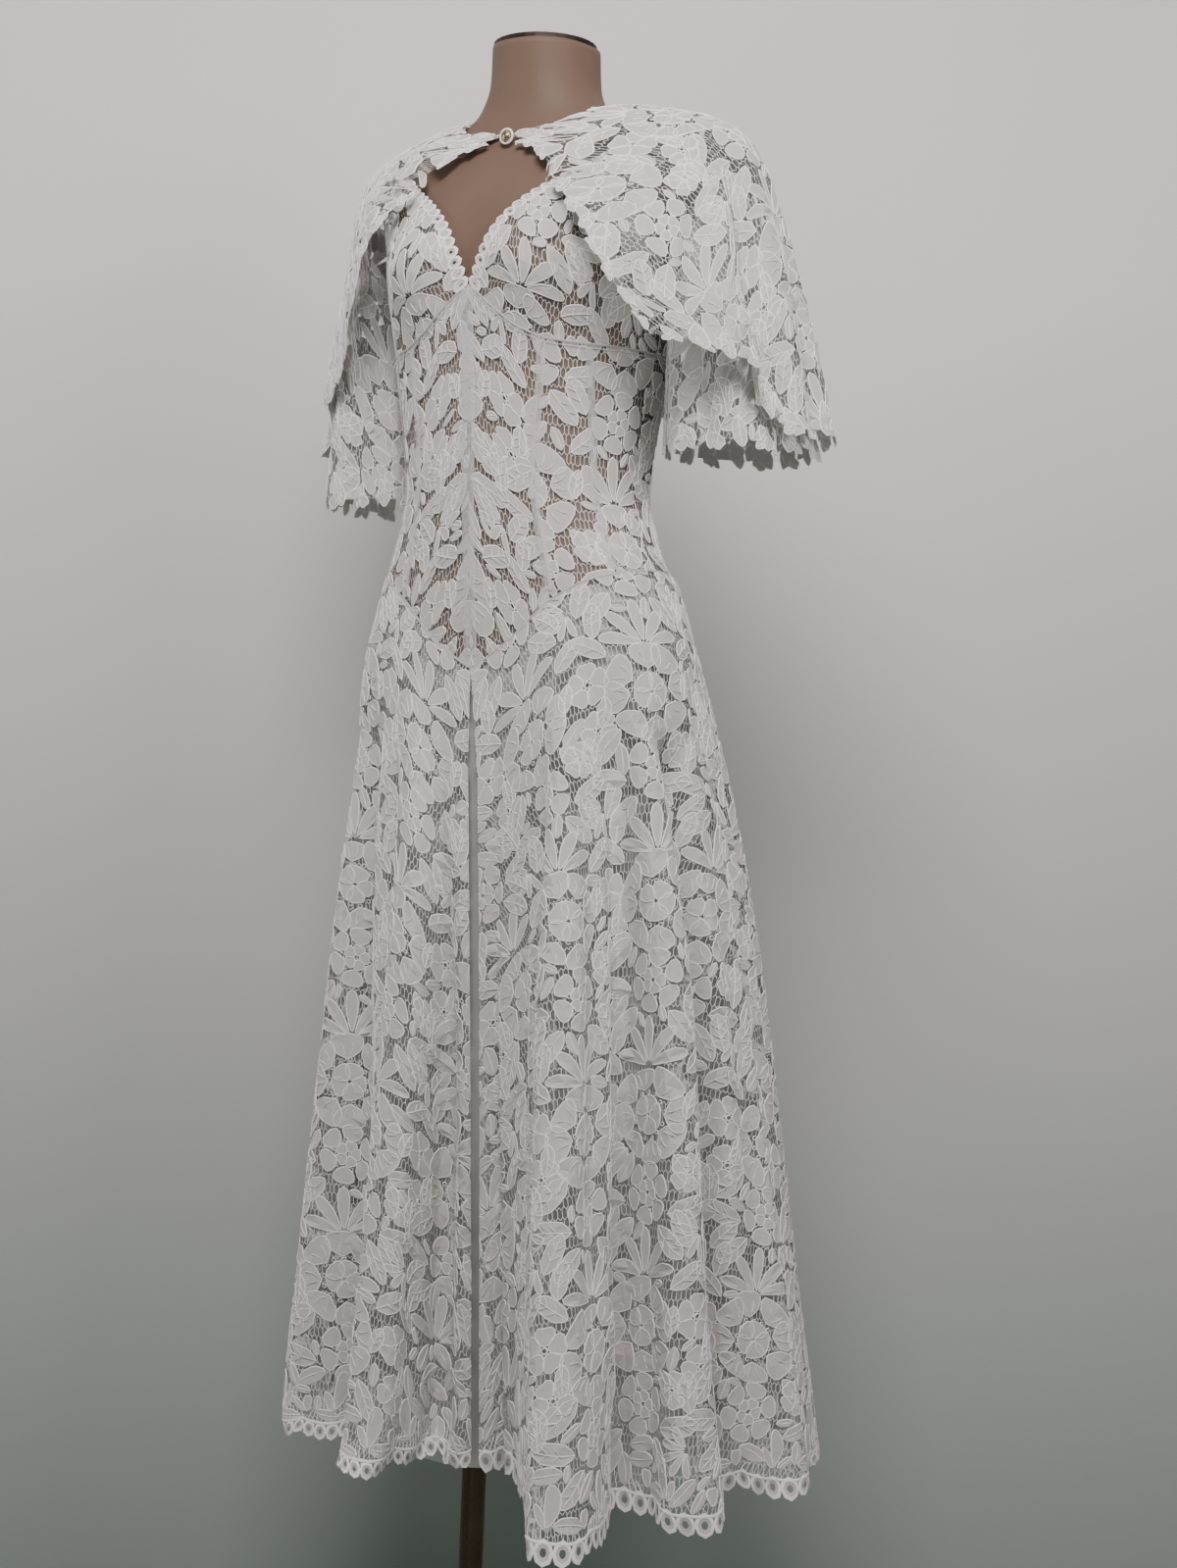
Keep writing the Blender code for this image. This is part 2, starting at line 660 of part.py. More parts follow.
def skirt_point(hem_rows, hem_angle, seam_angle, down, off, ease, below, narrower):
    """Point of a skirt: from the waist seam, past the hips, out to the folds of the hem."""
    start = on_form(seam_angle, seam_height(WAIST_SEAM, seam_angle) - below, off)
    reach, height = read_table(hem_rows, hem_angle)
    turn = math.radians(hem_angle)
    outward = Vector((math.cos(turn), math.sin(turn), 0))
    mean = HEM_MEAN_SIDE + HEM_MEAN_BACK_GAIN * math.sin(turn) - narrower
    smooth_end = HEM_MIDDLE + outward * mean
    flat_start = Vector((start.x, start.y, 0))
    place = flat_start + (smooth_end - flat_start) * down ** SPREAD_POWER
    place += outward * (reach - mean) * down ** FOLD_POWER
    place.z = start.z + (height - start.z) * down
    return clear_of_form(place, off + ease * min(1.0, down / HIP_EASE_BY))


def skirt_holes(columns, rows):
    """Openings of a quarter: one in each arch of the border, and some between the flowers above."""
    holes = []
    for arch in range(ARCHES_PER_QUARTER):
        holes.append((arch * CELLS_PER_ARCH + 1, rows - 2))
    for row in SKIRT_HOLE_ROWS:
        for column in range(row - 2, columns - 1, SKIRT_HOLE_STEP):
            holes.append((column, row))
    return holes


def build_skirt(lace, collection):
    columns = ARCHES_PER_QUARTER * CELLS_PER_ARCH
    rows = len(SKIRT_ROWS) - 1
    for name, hem_first, hem_last, seam_first, seam_last in QUARTERS:
        angles = even_angles(HEM_FOLDS, hem_first, hem_last, columns)
        grid = []
        for i, hem_angle in enumerate(angles):
            share = i / columns
            seam_angle = seam_first + (seam_last - seam_first) * share
            column = []
            for down in SKIRT_ROWS:
                point = skirt_point(HEM_FOLDS, hem_angle, seam_angle, down, SKIRT_OFF, HIP_EASE,
                                    SEAM_GAP, 0.0)
                arch = abs(math.sin(math.pi * i / CELLS_PER_ARCH))
                if down == SKIRT_ROWS[-1]:
                    point.z -= ARCH_DROP * arch
                column.append(point)
            grid.append(column)
        open_front_edge(name, grid)
        narrow_edges(grid)
        cloth_piece(name, grid, LACE, lace, collection, SKIRT_INSIDE, skirt_holes(columns, rows))


def open_front_edge(name, grid):
    """Draws the centre front edge of a front quarter back from the middle and turns it in."""
    if name == "skirt_front_left":
        edge, beside = grid[0], grid[1]
    elif name == "skirt_front_right":
        edge, beside = grid[-1], grid[-2]
    else:
        return
    for down, point, neighbour in zip(SKIRT_ROWS, edge, beside):
        away = Vector((neighbour.x - point.x, neighbour.y - point.y, 0)).normalized()
        inward = Vector((HEM_MIDDLE.x - point.x, HEM_MIDDLE.y - point.y, 0)).normalized()
        ease = min(1.0, down / SLIT_BY)
        point += away * SLIT_HALF * ease + inward * SLIT_TURN * ease * down


def narrow_edges(grid):
    """Half a seam gap off each side edge of a quarter."""
    for edge, beside in ((grid[0], grid[1]), (grid[-1], grid[-2])):
        for point, neighbour in zip(edge, beside):
            point += (neighbour - point).normalized() * SEAM_GAP


def build_lining(lining, collection):
    halves = (("skirt_lining_front", -180, 0), ("skirt_lining_back", 0, 180))
    for name, first, last in halves:
        grid = []
        for hem_angle in steps_between(first, last, LINING_CELLS):
            table_angle = hem_angle if hem_angle >= LINING_HEM[0].angle else hem_angle + 360
            seam_angle = hem_angle + 90
            grid.append([skirt_point(LINING_HEM, table_angle, seam_angle, down, LINING_OFF, HIP_EASE / 2,
                                     LINING_BELOW, LINING_NARROWER) for down in LINING_ROWS])
        narrow_edges(grid)
        cloth_piece(name, grid, LINING, lining, collection, SKIRT_INSIDE)


def cape_section(row):
    """Points of one cape row, neck to hem."""
    neck = on_form(row.neck_angle, row.neck_height, CAPE_NECK_OFF)
    return [neck, Vector(row.upper), Vector(row.shoulder), Vector(row.arm), Vector(row.hem)]


def smooth_through(points, t):
    """Point of a smooth curve through a list of points, t from 0 to 1."""
    places = list(range(len(points)))
    place = t * (len(points) - 1)
    index = min(int(place), len(points) - 2)
    near = [points[min(max(index + k, 0), len(points) - 1)] for k in (-1, 0, 1, 2)]
    u = place - places[index]
    return 0.5 * (2 * near[1] + (near[2] - near[0]) * u
                  + (2 * near[0] - 5 * near[1] + 4 * near[2] - near[3]) * u ** 2
                  + (3 * near[1] - near[0] - 3 * near[2] + near[3]) * u ** 3)


def cape_point(sections, round_share, length_share):
    across = [smooth_through([section[k] for section in sections], round_share) for k in range(5)]
    return smooth_through(across, length_share)


def build_cape(lace, collection):
    for side, label, rows in ((1, "left", CAPE_LEFT), (-1, "right", CAPE_RIGHT)):
        sections = [cape_section(row) for row in rows]
        grid = []
        for i, around in enumerate(steps_between(0.0, 1.0, CAPE_CELLS)):
            column = []
            for length in steps_between(0.0, 1.0, CAPE_LENGTHS):
                point = cape_point(sections, around, length)
                ripple = CAPE_RIPPLE * length ** 2 * math.sin(math.pi * around)
                outward = Vector((point.x, point.y - FORM_MID, 0)).normalized()
                point += outward * ripple * math.sin(2 * math.pi * CAPE_RIPPLES * around)
                if length == 1.0 and i % 2:
                    point.z -= PETAL_DROP
                gap = CAPE_NECK_OFF + (CAPE_OFF - CAPE_NECK_OFF) * min(1.0, length * 3)
                if point.z > CAPE_LIFT_FROM:
                    point = lifted_off_form(point, gap)
                else:
                    point = clear_of_form(point, gap)
                column.append(Vector((side * max(point.x, SEAM_GAP), point.y, point.z)))
            grid.append(column)
        holes = [(column, row) for row in CAPE_HOLE_ROWS
                 for column in range(3 + row, CAPE_CELLS - 2, CAPE_HOLE_STEP)]
        cloth_piece(f"cape_{label}", grid, LACE, lace, collection, Vector((side * 0.10, 0.04, 1.30)),
                    holes)


def sleeve_grid(side, first, last):
    """Half a bell sleeve, from the armhole ring to the hem ring."""
    underarm = form_point(90, SLEEVE_UNDERARM_HEIGHT)
    underarm.x += UPPER_BACK_OFF + SEAM_GAP
    underarm.y = SLEEVE_TOP.y
    middle = (underarm + SLEEVE_TOP) / 2
    toward_top = SLEEVE_TOP - middle
    grid = []
    for i, turn in enumerate(steps_between(first, last, SLEEVE_CELLS)):
        angle = math.radians(turn)
        upper = middle + toward_top * math.cos(angle)
        upper.y += SLEEVE_TOP_HALF_DEPTH * math.sin(angle)
        lower = SLEEVE_HEM_MIDDLE + Vector((SLEEVE_HEM_HALF_WIDTH * math.cos(angle),
                                            SLEEVE_HEM_HALF_DEPTH * math.sin(angle), 0))
        lower.z -= PETAL_DROP * (i % 2)
        if side < 0:
            lower.z -= SLEEVE_RIGHT_LOWER
        column = []
        for length in steps_between(0.0, 1.0, SLEEVE_LENGTHS):
            point = upper.lerp(lower, length)
            reach = 1.0 if side > 0 else 1.0 + (SLEEVE_RIGHT_REACH - 1.0) * length
            column.append(Vector((side * point.x * reach, point.y, point.z)))
        grid.append(column)
    return grid


def build_sleeves(lace, collection):
    for side, label in ((1, "left"), (-1, "right")):
        inside = Vector((side * SLEEVE_HEM_MIDDLE.x, SLEEVE_HEM_MIDDLE.y, 1.3))
        for name, first, last in (("front", -180, 0), ("back", 0, 180)):
            grid = sleeve_grid(side, first + SLEEVE_SEAM_TURN, last - SLEEVE_SEAM_TURN)
            holes = [(column, row) for row in SLEEVE_HOLE_ROWS
                     for column in range(row, SLEEVE_CELLS - 1, SLEEVE_HOLE_STEP)]
            cloth_piece(f"sleeve_{name}_{label}", grid, LACE, lace, collection, inside, holes, -1.0)


def build_button(collection):
    gold = make_material("Button gold", BUTTON_GOLD, 0.3, 1.0)
    thread = make_material("Loop thread", WHITE_LACE, 0.8)
    bm = bmesh.new()
    bmesh.ops.create_uvsphere(bm, u_segments=12, v_segments=8, radius=BUTTON_RADIUS)
    mesh = bpy.data.meshes.new("cape_button")
    bm.to_mesh(mesh)
    bm.free()
    mesh.shade_smooth()
    button = add_object("cape_button", mesh, gold, collection)
    button.location = BUTTON_AT
    button.scale = (1, 0.7, 1)
    bpy.ops.mesh.primitive_torus_add(major_segments=16, minor_segments=6, major_radius=LOOP_RADIUS,
                                     minor_radius=LOOP_CORD, location=BUTTON_AT,
                                     rotation=(math.radians(90), 0, 0))
    loop = bpy.context.object
    loop.name = "cape_loop"
    loop.data.name = "cape_loop"
    for owner in list(loop.users_collection):
        owner.objects.unlink(loop)
    collection.objects.link(loop)
    loop.data.materials.append(thread)


def build_dress():
    for thing in list(bpy.data.objects):
        bpy.data.objects.remove(thing)
    collection = bpy.data.collections.new("Lace dress on a dress form")
    bpy.context.scene.collection.children.link(collection)
    lace = make_material("Lace", WHITE_LACE, 0.8)
    tape = make_material("Channel tape", WHITE_LACE, 0.7)
    lining = make_material("Lining", WHITE_LINING, 0.7)
    build_form(collection)
    build_stand(collection)
    build_bodice(lace, tape, collection)
    build_upper_bodice(lace, collection)
    build_skirt(lace, collection)
    build_lining(lining, collection)
    build_cape(lace, collection)
    build_sleeves(lace, collection)
    build_button(collection)


build_dress()
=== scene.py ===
"""Looks of the white lace dress with its buttoned cape, on a limbless dress form.

Metres, +Z up. The front of the dress faces -Y and the wearer's left is +X.
Each piece of cloth is a sheer ground laid on the form of its solid, with the raised
flowers, cords and net of the lace as joined meshes on top of it.
"""

import math

import bpy
import numpy as np
from mathutils import Matrix, Vector


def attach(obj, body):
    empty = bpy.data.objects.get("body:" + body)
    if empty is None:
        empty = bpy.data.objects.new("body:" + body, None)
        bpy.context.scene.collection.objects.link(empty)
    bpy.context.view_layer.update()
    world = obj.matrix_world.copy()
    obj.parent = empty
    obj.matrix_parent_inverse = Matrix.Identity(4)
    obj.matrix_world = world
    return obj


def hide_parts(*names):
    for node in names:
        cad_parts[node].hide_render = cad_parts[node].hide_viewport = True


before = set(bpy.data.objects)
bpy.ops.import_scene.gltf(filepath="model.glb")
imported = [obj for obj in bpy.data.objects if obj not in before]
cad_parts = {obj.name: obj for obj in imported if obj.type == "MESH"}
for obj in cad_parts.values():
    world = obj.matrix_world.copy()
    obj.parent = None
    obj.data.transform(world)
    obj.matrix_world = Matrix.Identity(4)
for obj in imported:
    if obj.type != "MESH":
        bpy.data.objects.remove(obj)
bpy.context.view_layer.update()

# Camera, as the photograph was taken
PHOTO_HIGH = 1599
FOCAL_PIXELS = 2580
SENSOR_MM = 24
CAMERA_AZIMUTH = 35
CAMERA_YAW = -1.96
CAMERA_ROLL = 2.3
CAMERA_DISTANCE = 2.4
CAMERA_HEIGHT = 0.918
WALL_BEHIND = 0.46

# Cloth offsets, as in the solids
LACE = 0.0013
TAPE = 0.0010
SEAM_GAP = 0.0004
BODICE_OFF = 0.0020
CUP_OFF = 0.0042
UPPER_BACK_OFF = 0.0062
TAPE_OFF = BODICE_OFF + LACE + 0.0006
SKIRT_OFF = 0.0036
LINING_OFF = 0.0016
CAPE_NECK_OFF = 0.0012
CAPE_OFF = UPPER_BACK_OFF + LACE + 0.0025

# Dress form: height, half width, front, back
FORM = [
    (0.900, 0.118, -0.028, 0.124), (0.930, 0.150, -0.044, 0.154), (0.980, 0.162, -0.050, 0.163),
    (1.030, 0.158, -0.055, 0.153), (1.100, 0.145, -0.062, 0.133), (1.150, 0.127, -0.067, 0.115),
    (1.190, 0.117, -0.070, 0.108), (1.240, 0.121, -0.073, 0.110), (1.300, 0.132, -0.077, 0.115),
    (1.360, 0.140, -0.082, 0.119), (1.400, 0.146, -0.081, 0.120), (1.440, 0.156, -0.074, 0.116),
    (1.470, 0.166, -0.062, 0.107), (1.495, 0.164, -0.047, 0.095), (1.515, 0.130, -0.037, 0.087),
    (1.535, 0.090, -0.029, 0.082), (1.555, 0.064, -0.024, 0.079), (1.580, 0.0520, -0.0235, 0.0750),
    (1.616, 0.0495, -0.0260, 0.0730),
]
FORM_MID = 0.030
FORM_SQUARENESS = 2.3
BUST_SIDE = 0.072
BUST_HEIGHT = 1.392
BUST_REACH = 0.024
BUST_SPREAD = 0.043

# Seams round the body: angle from the centre front in degrees, height
WAIST_SEAM = [(0, 1.022), (12, 1.046), (31, 1.086), (52, 1.106), (90, 1.116), (135, 1.108), (180, 1.098)]
BUST_SEAM = [(0, 1.372), (9, 1.352), (20, 1.332), (34, 1.321), (55, 1.318), (90, 1.318), (180, 1.320)]

# Bodice seams: angle at the lower seam, the waist and the upper seam
PANEL_EDGES = {"centre": (0, 0, 0), "mid": (30, 30, 29), "side": (64, 61, 49), "underarm": (88, 88, 88),
               "shoulder_blade": (140, 140, 136), "back": (180, 180, 180)}
PANELS = [("bodice_front_centre", "centre", "mid"), ("bodice_front_mid", "mid", "side"),
          ("bodice_front_side", "side", "underarm"), ("bodice_back_side", "underarm", "shoulder_blade"),
          ("bodice_back_centre", "shoulder_blade", "back")]
PANEL_LEVELS = [1.09, 1.190, 1.33]
PANEL_ROUNDS = 3
CHANNEL_WIDTH = 0.009
CHANNEL_SPAN = 4
CHANNEL_ABOVE_WAIST_SEAM = 0.004
CHANNEL_BELOW_BUST_SEAM = 0.003

# Upper bodice outlines: angle from the centre front, height
NECKLINE = [(1.0, 1.388), (4, 1.410), (9, 1.434), (17, 1.455), (29, 1.476), (48, 1.500), (89.3, 1.529)]
ARMHOLE_FRONT = [(88, 1.322), (88, 1.386), (74, 1.420), (66, 1.460), (74, 1.495), (89.3, 1.512)]
ARMHOLE_BACK = [(88.4, 1.322), (89, 1.386), (104, 1.420), (112, 1.460), (106, 1.495), (90.7, 1.512)]
BACK_NECK = [(180, 1.324), (180, 1.420), (179.8, 1.480), (150, 1.505), (90.7, 1.529)]

# Hems seen from above: angle about the hem's middle (front is -90), reach, height
HEM_FOLDS = [
    (-78, 0.160, 0.285), (-66, 0.115, 0.292), (-50, 0.318, 0.262), (-34, 0.212, 0.276),
    (-21, 0.285, 0.266), (-3, 0.190, 0.274), (16, 0.275, 0.262), (33, 0.228, 0.264),
    (52, 0.305, 0.252), (68, 0.246, 0.252), (84, 0.310, 0.244), (99, 0.250, 0.247),
    (114, 0.314, 0.245), (130, 0.238, 0.256), (146, 0.294, 0.260), (162, 0.205, 0.272),
    (178, 0.270, 0.272), (188, 0.230, 0.280), (197, 0.262, 0.280), (207, 0.205, 0.286),
    (218, 0.234, 0.284), (236, 0.150, 0.292), (254, 0.232, 0.284), (269, 0.142, 0.292),
    (282, 0.160, 0.285),
]
LINING_HEM = [
    (-90, 0.124, 0.272), (-66, 0.098, 0.270), (-50, 0.165, 0.266), (-34, 0.188, 0.266),
    (-3, 0.172, 0.266), (16, 0.200, 0.262), (52, 0.228, 0.258), (99, 0.234, 0.254),
    (130, 0.218, 0.258), (162, 0.188, 0.262), (197, 0.194, 0.268), (236, 0.132, 0.272),
    (254, 0.128, 0.272), (270, 0.124, 0.272),
]
HEM_MIDDLE = np.array([0.0, 0.100])
HEM_MEAN_SIDE = 0.235
HEM_MEAN_BACK_GAIN = 0.045
QUARTERS = [("skirt_front_left", -78, 16, 0, 90), ("skirt_back_left", 16, 84, 90, 180),
            ("skirt_back_right", 84, 197, 180, 270), ("skirt_front_right", 197, 282, 270, 360)]
ARCHES = 10
ARCH_DROP = 0.010
ARCH_FROM = 0.93
SPREAD_POWER = 0.72
FOLD_POWER = 1.1
HIP_EASE = 0.0065
HIP_EASE_BY = 0.08
SLIT_HALF = 0.005
SLIT_TURN = 0.012
SLIT_BY = 0.12
SLIT_COLUMNS = 30
LINING_NARROWER = 0.045
LINING_BELOW = 0.006

# Cape sections: neck angle, neck height, then upper, shoulder, arm and hem points, x outward
CAPE_LEFT = [
    (0.5, 1.519, (0.052, -0.056, 1.489), (0.116, -0.088, 1.430), (0.158, -0.098, 1.372),
     (0.199, -0.085, 1.314)),
    (25, 1.528, (0.084, -0.038, 1.513), (0.163, -0.058, 1.462), (0.198, -0.068, 1.392),
     (0.232, -0.050, 1.310)),
    (50, 1.540, (0.108, 0.000, 1.540), (0.192, -0.010, 1.498), (0.225, -0.014, 1.410),
     (0.258, -0.007, 1.292)),
    (66, 1.547, (0.113, 0.018, 1.549), (0.204, 0.014, 1.514), (0.236, 0.014, 1.428), (0.270, 0.030, 1.246)),
    (90, 1.552, (0.115, 0.034, 1.553), (0.208, 0.038, 1.520), (0.242, 0.050, 1.436), (0.286, 0.076, 1.248)),
    (118, 1.556, (0.108, 0.060, 1.551), (0.186, 0.080, 1.512), (0.214, 0.096, 1.428),
     (0.256, 0.136, 1.246)),
    (148, 1.556, (0.076, 0.096, 1.532), (0.132, 0.122, 1.478), (0.168, 0.144, 1.392), (0.190, 0.168, 1.258)),
    (179.6, 1.555, (0.0004, 0.106, 1.512), (0.0004, 0.128, 1.455), (0.0004, 0.140, 1.380),
     (0.0004, 0.150, 1.300)),
]
CAPE_RIGHT = [
    (0.5, 1.519, (0.050, -0.055, 1.490), (0.100, -0.080, 1.448), (0.125, -0.084, 1.412),
     (0.138, -0.078, 1.376)),
    (25, 1.528, (0.084, -0.036, 1.513), (0.140, -0.054, 1.474), (0.164, -0.056, 1.412),
     (0.180, -0.040, 1.330)),
    (50, 1.540, (0.108, 0.000, 1.540), (0.176, -0.012, 1.500), (0.194, -0.012, 1.420),
     (0.222, 0.000, 1.276)),
    (66, 1.547, (0.113, 0.018, 1.549), (0.190, 0.014, 1.512), (0.212, 0.014, 1.426), (0.248, 0.026, 1.246)),
    (90, 1.552, (0.115, 0.034, 1.553), (0.196, 0.038, 1.517), (0.226, 0.050, 1.430), (0.268, 0.076, 1.246)),
    (118, 1.556, (0.108, 0.060, 1.551), (0.180, 0.080, 1.510), (0.210, 0.100, 1.424),
     (0.246, 0.136, 1.246)),
    (148, 1.556, (0.076, 0.096, 1.532), (0.132, 0.122, 1.478), (0.168, 0.144, 1.392), (0.190, 0.168, 1.258)),
    (179.6, 1.555, (0.0004, 0.106, 1.512), (0.0004, 0.128, 1.455), (0.0004, 0.140, 1.380),
     (0.0004, 0.150, 1.300)),
]
CAPE_LIFT_FROM = 1.475
CAPE_RIPPLE = 0.005
CAPE_RIPPLES = 5

# Bell sleeves
SLEEVE_UNDERARM_HEIGHT = 1.385
SLEEVE_TOP = np.array([0.207, 0.045, 1.474])
SLEEVE_TOP_HALF_DEPTH = 0.052
SLEEVE_HEM_MIDDLE = np.array([0.204, 0.070, 1.232])
SLEEVE_HEM_HALF_WIDTH = 0.068
SLEEVE_HEM_HALF_DEPTH = 0.074
SLEEVE_RIGHT_REACH = 0.93
SLEEVE_RIGHT_LOWER = 0.042

NECK_TIP_ANGLE = -50
NECK_TIP_FROM = 1.517
NECK_RADIUS = 0.055
NECK_TIP_LONG = 0.032
NECK_TIP_WIDE = 0.015
NECK_TIP_BEND = 0.12
NECK_TIP_CLEAR = 0.0015
NECK_TIP_LEAN = 0.10

BUTTON_RADIUS = 0.0052
BUTTON_AT = Vector((0.0060, -0.0433, 1.5185))
LOOP_RADIUS = 0.0067
LOOP_CORD = 0.0011

# Creases: shares across and down at both ends, half width, height (a trough if negative)
FOLD_DEPTH = 1.35
CREASES = {
    "skirt_front_left": [
        (0.37, 0.10, 0.34, 1.00, 0.018, 0.019), (0.30, 0.14, 0.26, 1.00, 0.013, -0.015),
        (0.50, 0.07, 0.45, 0.92, 0.018, 0.007), (0.56, 0.10, 0.53, 1.00, 0.013, -0.008),
        (0.67, 0.06, 0.62, 1.00, 0.018, 0.015), (0.75, 0.14, 0.74, 0.97, 0.013, -0.013),
        (0.84, 0.05, 0.86, 1.00, 0.017, 0.010), (0.92, 0.22, 0.94, 1.00, 0.012, -0.007),
        (0.13, 0.14, 0.11, 1.00, 0.015, 0.008), (0.19, 0.30, 0.18, 0.90, 0.010, -0.005),
        (0.38, 0.62, 0.50, 0.78, 0.011, -0.004), (0.42, 0.74, 0.55, 0.93, 0.012, 0.004),
    ],
    "skirt_front_right": [
        (0.94, 0.12, 0.93, 1.00, 0.012, 0.007), (0.88, 0.18, 0.86, 1.00, 0.012, -0.010),
        (0.78, 0.06, 0.74, 1.00, 0.018, 0.015), (0.66, 0.12, 0.64, 1.00, 0.013, -0.013),
        (0.55, 0.08, 0.50, 0.94, 0.017, 0.009), (0.42, 0.15, 0.40, 1.00, 0.014, -0.008),
        (0.31, 0.06, 0.29, 1.00, 0.018, 0.010), (0.16, 0.10, 0.14, 0.90, 0.014, -0.006),
    ],
    "skirt_back_left": [
        (0.10, 0.08, 0.12, 1.00, 0.017, 0.010), (0.22, 0.18, 0.24, 0.95, 0.013, -0.008),
        (0.36, 0.07, 0.38, 1.00, 0.019, 0.012), (0.52, 0.12, 0.53, 1.00, 0.014, -0.009),
        (0.66, 0.09, 0.68, 0.93, 0.016, 0.008), (0.82, 0.14, 0.83, 1.00, 0.015, -0.010),
        (0.93, 0.20, 0.92, 1.00, 0.012, 0.006),
    ],
    "skirt_back_right": [
        (0.08, 0.10, 0.08, 1.00, 0.015, 0.008), (0.19, 0.13, 0.21, 1.00, 0.014, -0.009),
        (0.33, 0.06, 0.32, 0.96, 0.018, 0.011), (0.47, 0.16, 0.48, 1.00, 0.013, -0.008),
        (0.60, 0.08, 0.60, 1.00, 0.019, 0.010), (0.75, 0.11, 0.73, 1.00, 0.014, -0.009),
        (0.88, 0.07, 0.90, 0.92, 0.016, 0.009),
    ],
    "cape_left": [
        (0.30, 0.40, 0.27, 1.00, 0.014, 0.006), (0.37, 0.62, 0.36, 1.00, 0.009, -0.006),
        (0.45, 0.50, 0.47, 1.00, 0.013, 0.006), (0.22, 0.66, 0.17, 0.98, 0.010, -0.005),
        (0.58, 0.45, 0.60, 1.00, 0.015, 0.006), (0.72, 0.55, 0.74, 1.00, 0.012, -0.006),
        (0.83, 0.40, 0.86, 1.00, 0.016, 0.005), (0.11, 0.45, 0.06, 0.92, 0.010, 0.004),
        (0.34, 0.86, 0.24, 0.93, 0.007, 0.004), (0.36, 0.90, 0.46, 0.97, 0.008, -0.004),
    ],
    "cape_right": [
        (0.28, 0.45, 0.26, 1.00, 0.014, 0.006), (0.38, 0.58, 0.39, 1.00, 0.010, -0.006),
        (0.50, 0.42, 0.49, 1.00, 0.014, 0.007), (0.60, 0.60, 0.62, 1.00, 0.010, -0.005),
        (0.70, 0.50, 0.69, 0.96, 0.014, 0.005), (0.84, 0.45, 0.86, 1.00, 0.015, 0.005),
        (0.14, 0.55, 0.12, 1.00, 0.010, -0.004),
    ],
    "sleeve_front_left": [
        (0.42, 0.30, 0.40, 1.00, 0.010, 0.005), (0.53, 0.40, 0.55, 1.00, 0.008, -0.005),
        (0.66, 0.35, 0.68, 1.00, 0.010, 0.005), (0.80, 0.42, 0.83, 1.00, 0.009, -0.004),
    ],
    "sleeve_front_right": [
        (0.30, 0.30, 0.28, 1.00, 0.010, 0.005), (0.48, 0.38, 0.50, 1.00, 0.009, -0.005),
        (0.68, 0.30, 0.70, 1.00, 0.011, 0.005),
    ],
    "sleeve_back_left": [
        (0.26, 0.32, 0.24, 1.00, 0.010, 0.005), (0.44, 0.40, 0.45, 1.00, 0.009, -0.005),
        (0.72, 0.34, 0.74, 1.00, 0.011, 0.005),
    ],
    "sleeve_back_right": [
        (0.22, 0.34, 0.22, 1.00, 0.010, 0.004), (0.50, 0.36, 0.52, 1.00, 0.009, -0.005),
        (0.76, 0.30, 0.75, 1.00, 0.010, 0.005),
    ],
}

# Soft lights: name, place, aimed at, width, height, watts, colour, spread in degrees
LIGHTS = [
    ("ceiling_panel", (0.8, -1.5, 2.8), (-0.1, 0.1, 1.35), 1.1, 0.9, 31, (1.0, 0.955, 0.94), 125),
    ("left_panel", (-1.7, -1.2, 1.55), (-0.7, 0.5, 1.15), 0.9, 0.9, 10, (1.0, 0.95, 0.94), 150),
    ("right_panel", (2.0, -0.5, 1.7), (0.1, 0.0, 1.2), 0.8, 0.6, 12, (1.0, 0.96, 0.95), 150),
    ("low_panel", (0.9, -1.9, 0.45), (0.0, 0.0, 0.45), 0.8, 0.5, 1.2, (0.80, 1.0, 0.90), 120),
    ("rear_panel", (-0.6, 2.4, 2.4), (0.0, 0.1, 0.9), 1.4, 1.0, 16, (1.0, 1.0, 1.0), 180),
]
ROOM_COLOUR = (0.84, 0.95, 0.89, 1)
ROOM_STRENGTH = 0.17

# Lace repeat: motif, across and up in mm from the repeat's corner, size in mm, turn in degrees
REPEAT_WIDE = 0.128
REPEAT_HIGH = 0.190
REPEAT = [
    ("peony", 64, 122, 80, 8), ("plumes", 64, 164, 40, 90), ("rose", 66, 52, 54, 20),
    ("flower", 4, 136, 38, 15), ("flower", 11, 92, 36, 50), ("flower", 113, 72, 32, 0),
    ("leaf", 34, 90, 38, 222), ("leaf", 97, 88, 36, -48), ("leaf", 34, 42, 38, 170),
    ("leaf", 44, 27, 36, 225), ("leaf", 96, 36, 38, 12), ("leaf", 84, 25, 36, -50),
    ("leaf", 1, 50, 36, 96), ("leaf", 8, 10, 34, 60), ("leaf", 118, 6, 34, 118),
    ("leaf", 26, 158, 34, 140), ("leaf", 104, 160, 34, 40), ("leaf", 18, 176, 32, 80),
    ("leaf", 20, 122, 26, 265), ("leaf", 106, 118, 26, 80), ("plumes", 2, 20, 24, 200),
]
FILLER_SIZES = [(0.031, 0.0160, 1.0), (0.023, 0.0130, 0.8), (0.016, 0.0110, 0.5)]
FILLER_MARGIN = 0.74
PETAL_SPACING = 0.017
PETAL_REACH = 0.008
SCALLOP_SPACING = 0.0105
SCALLOP_IN = 0.0020
MOTIF_GROWTH = 1.10
CORD_HIGH = 0.0006
RIM = 0.0010
PATCH_POINTS = 12
RING_POINTS = 8
VEIN_POINTS = 4
PETAL_PROFILE = [(0.0, 0.0), (0.5, 1.0), (1.0, 0.2)]
BUD_PROFILE = [(0.0, 0.0), (0.6, 1.0)]
COVER_CELL = 0.0008
NET_WIDE = 0.0042
NET_BAR = 0.0060
NET_HIGH = 0.0086
THREAD = 0.0005


# Curves and surfaces

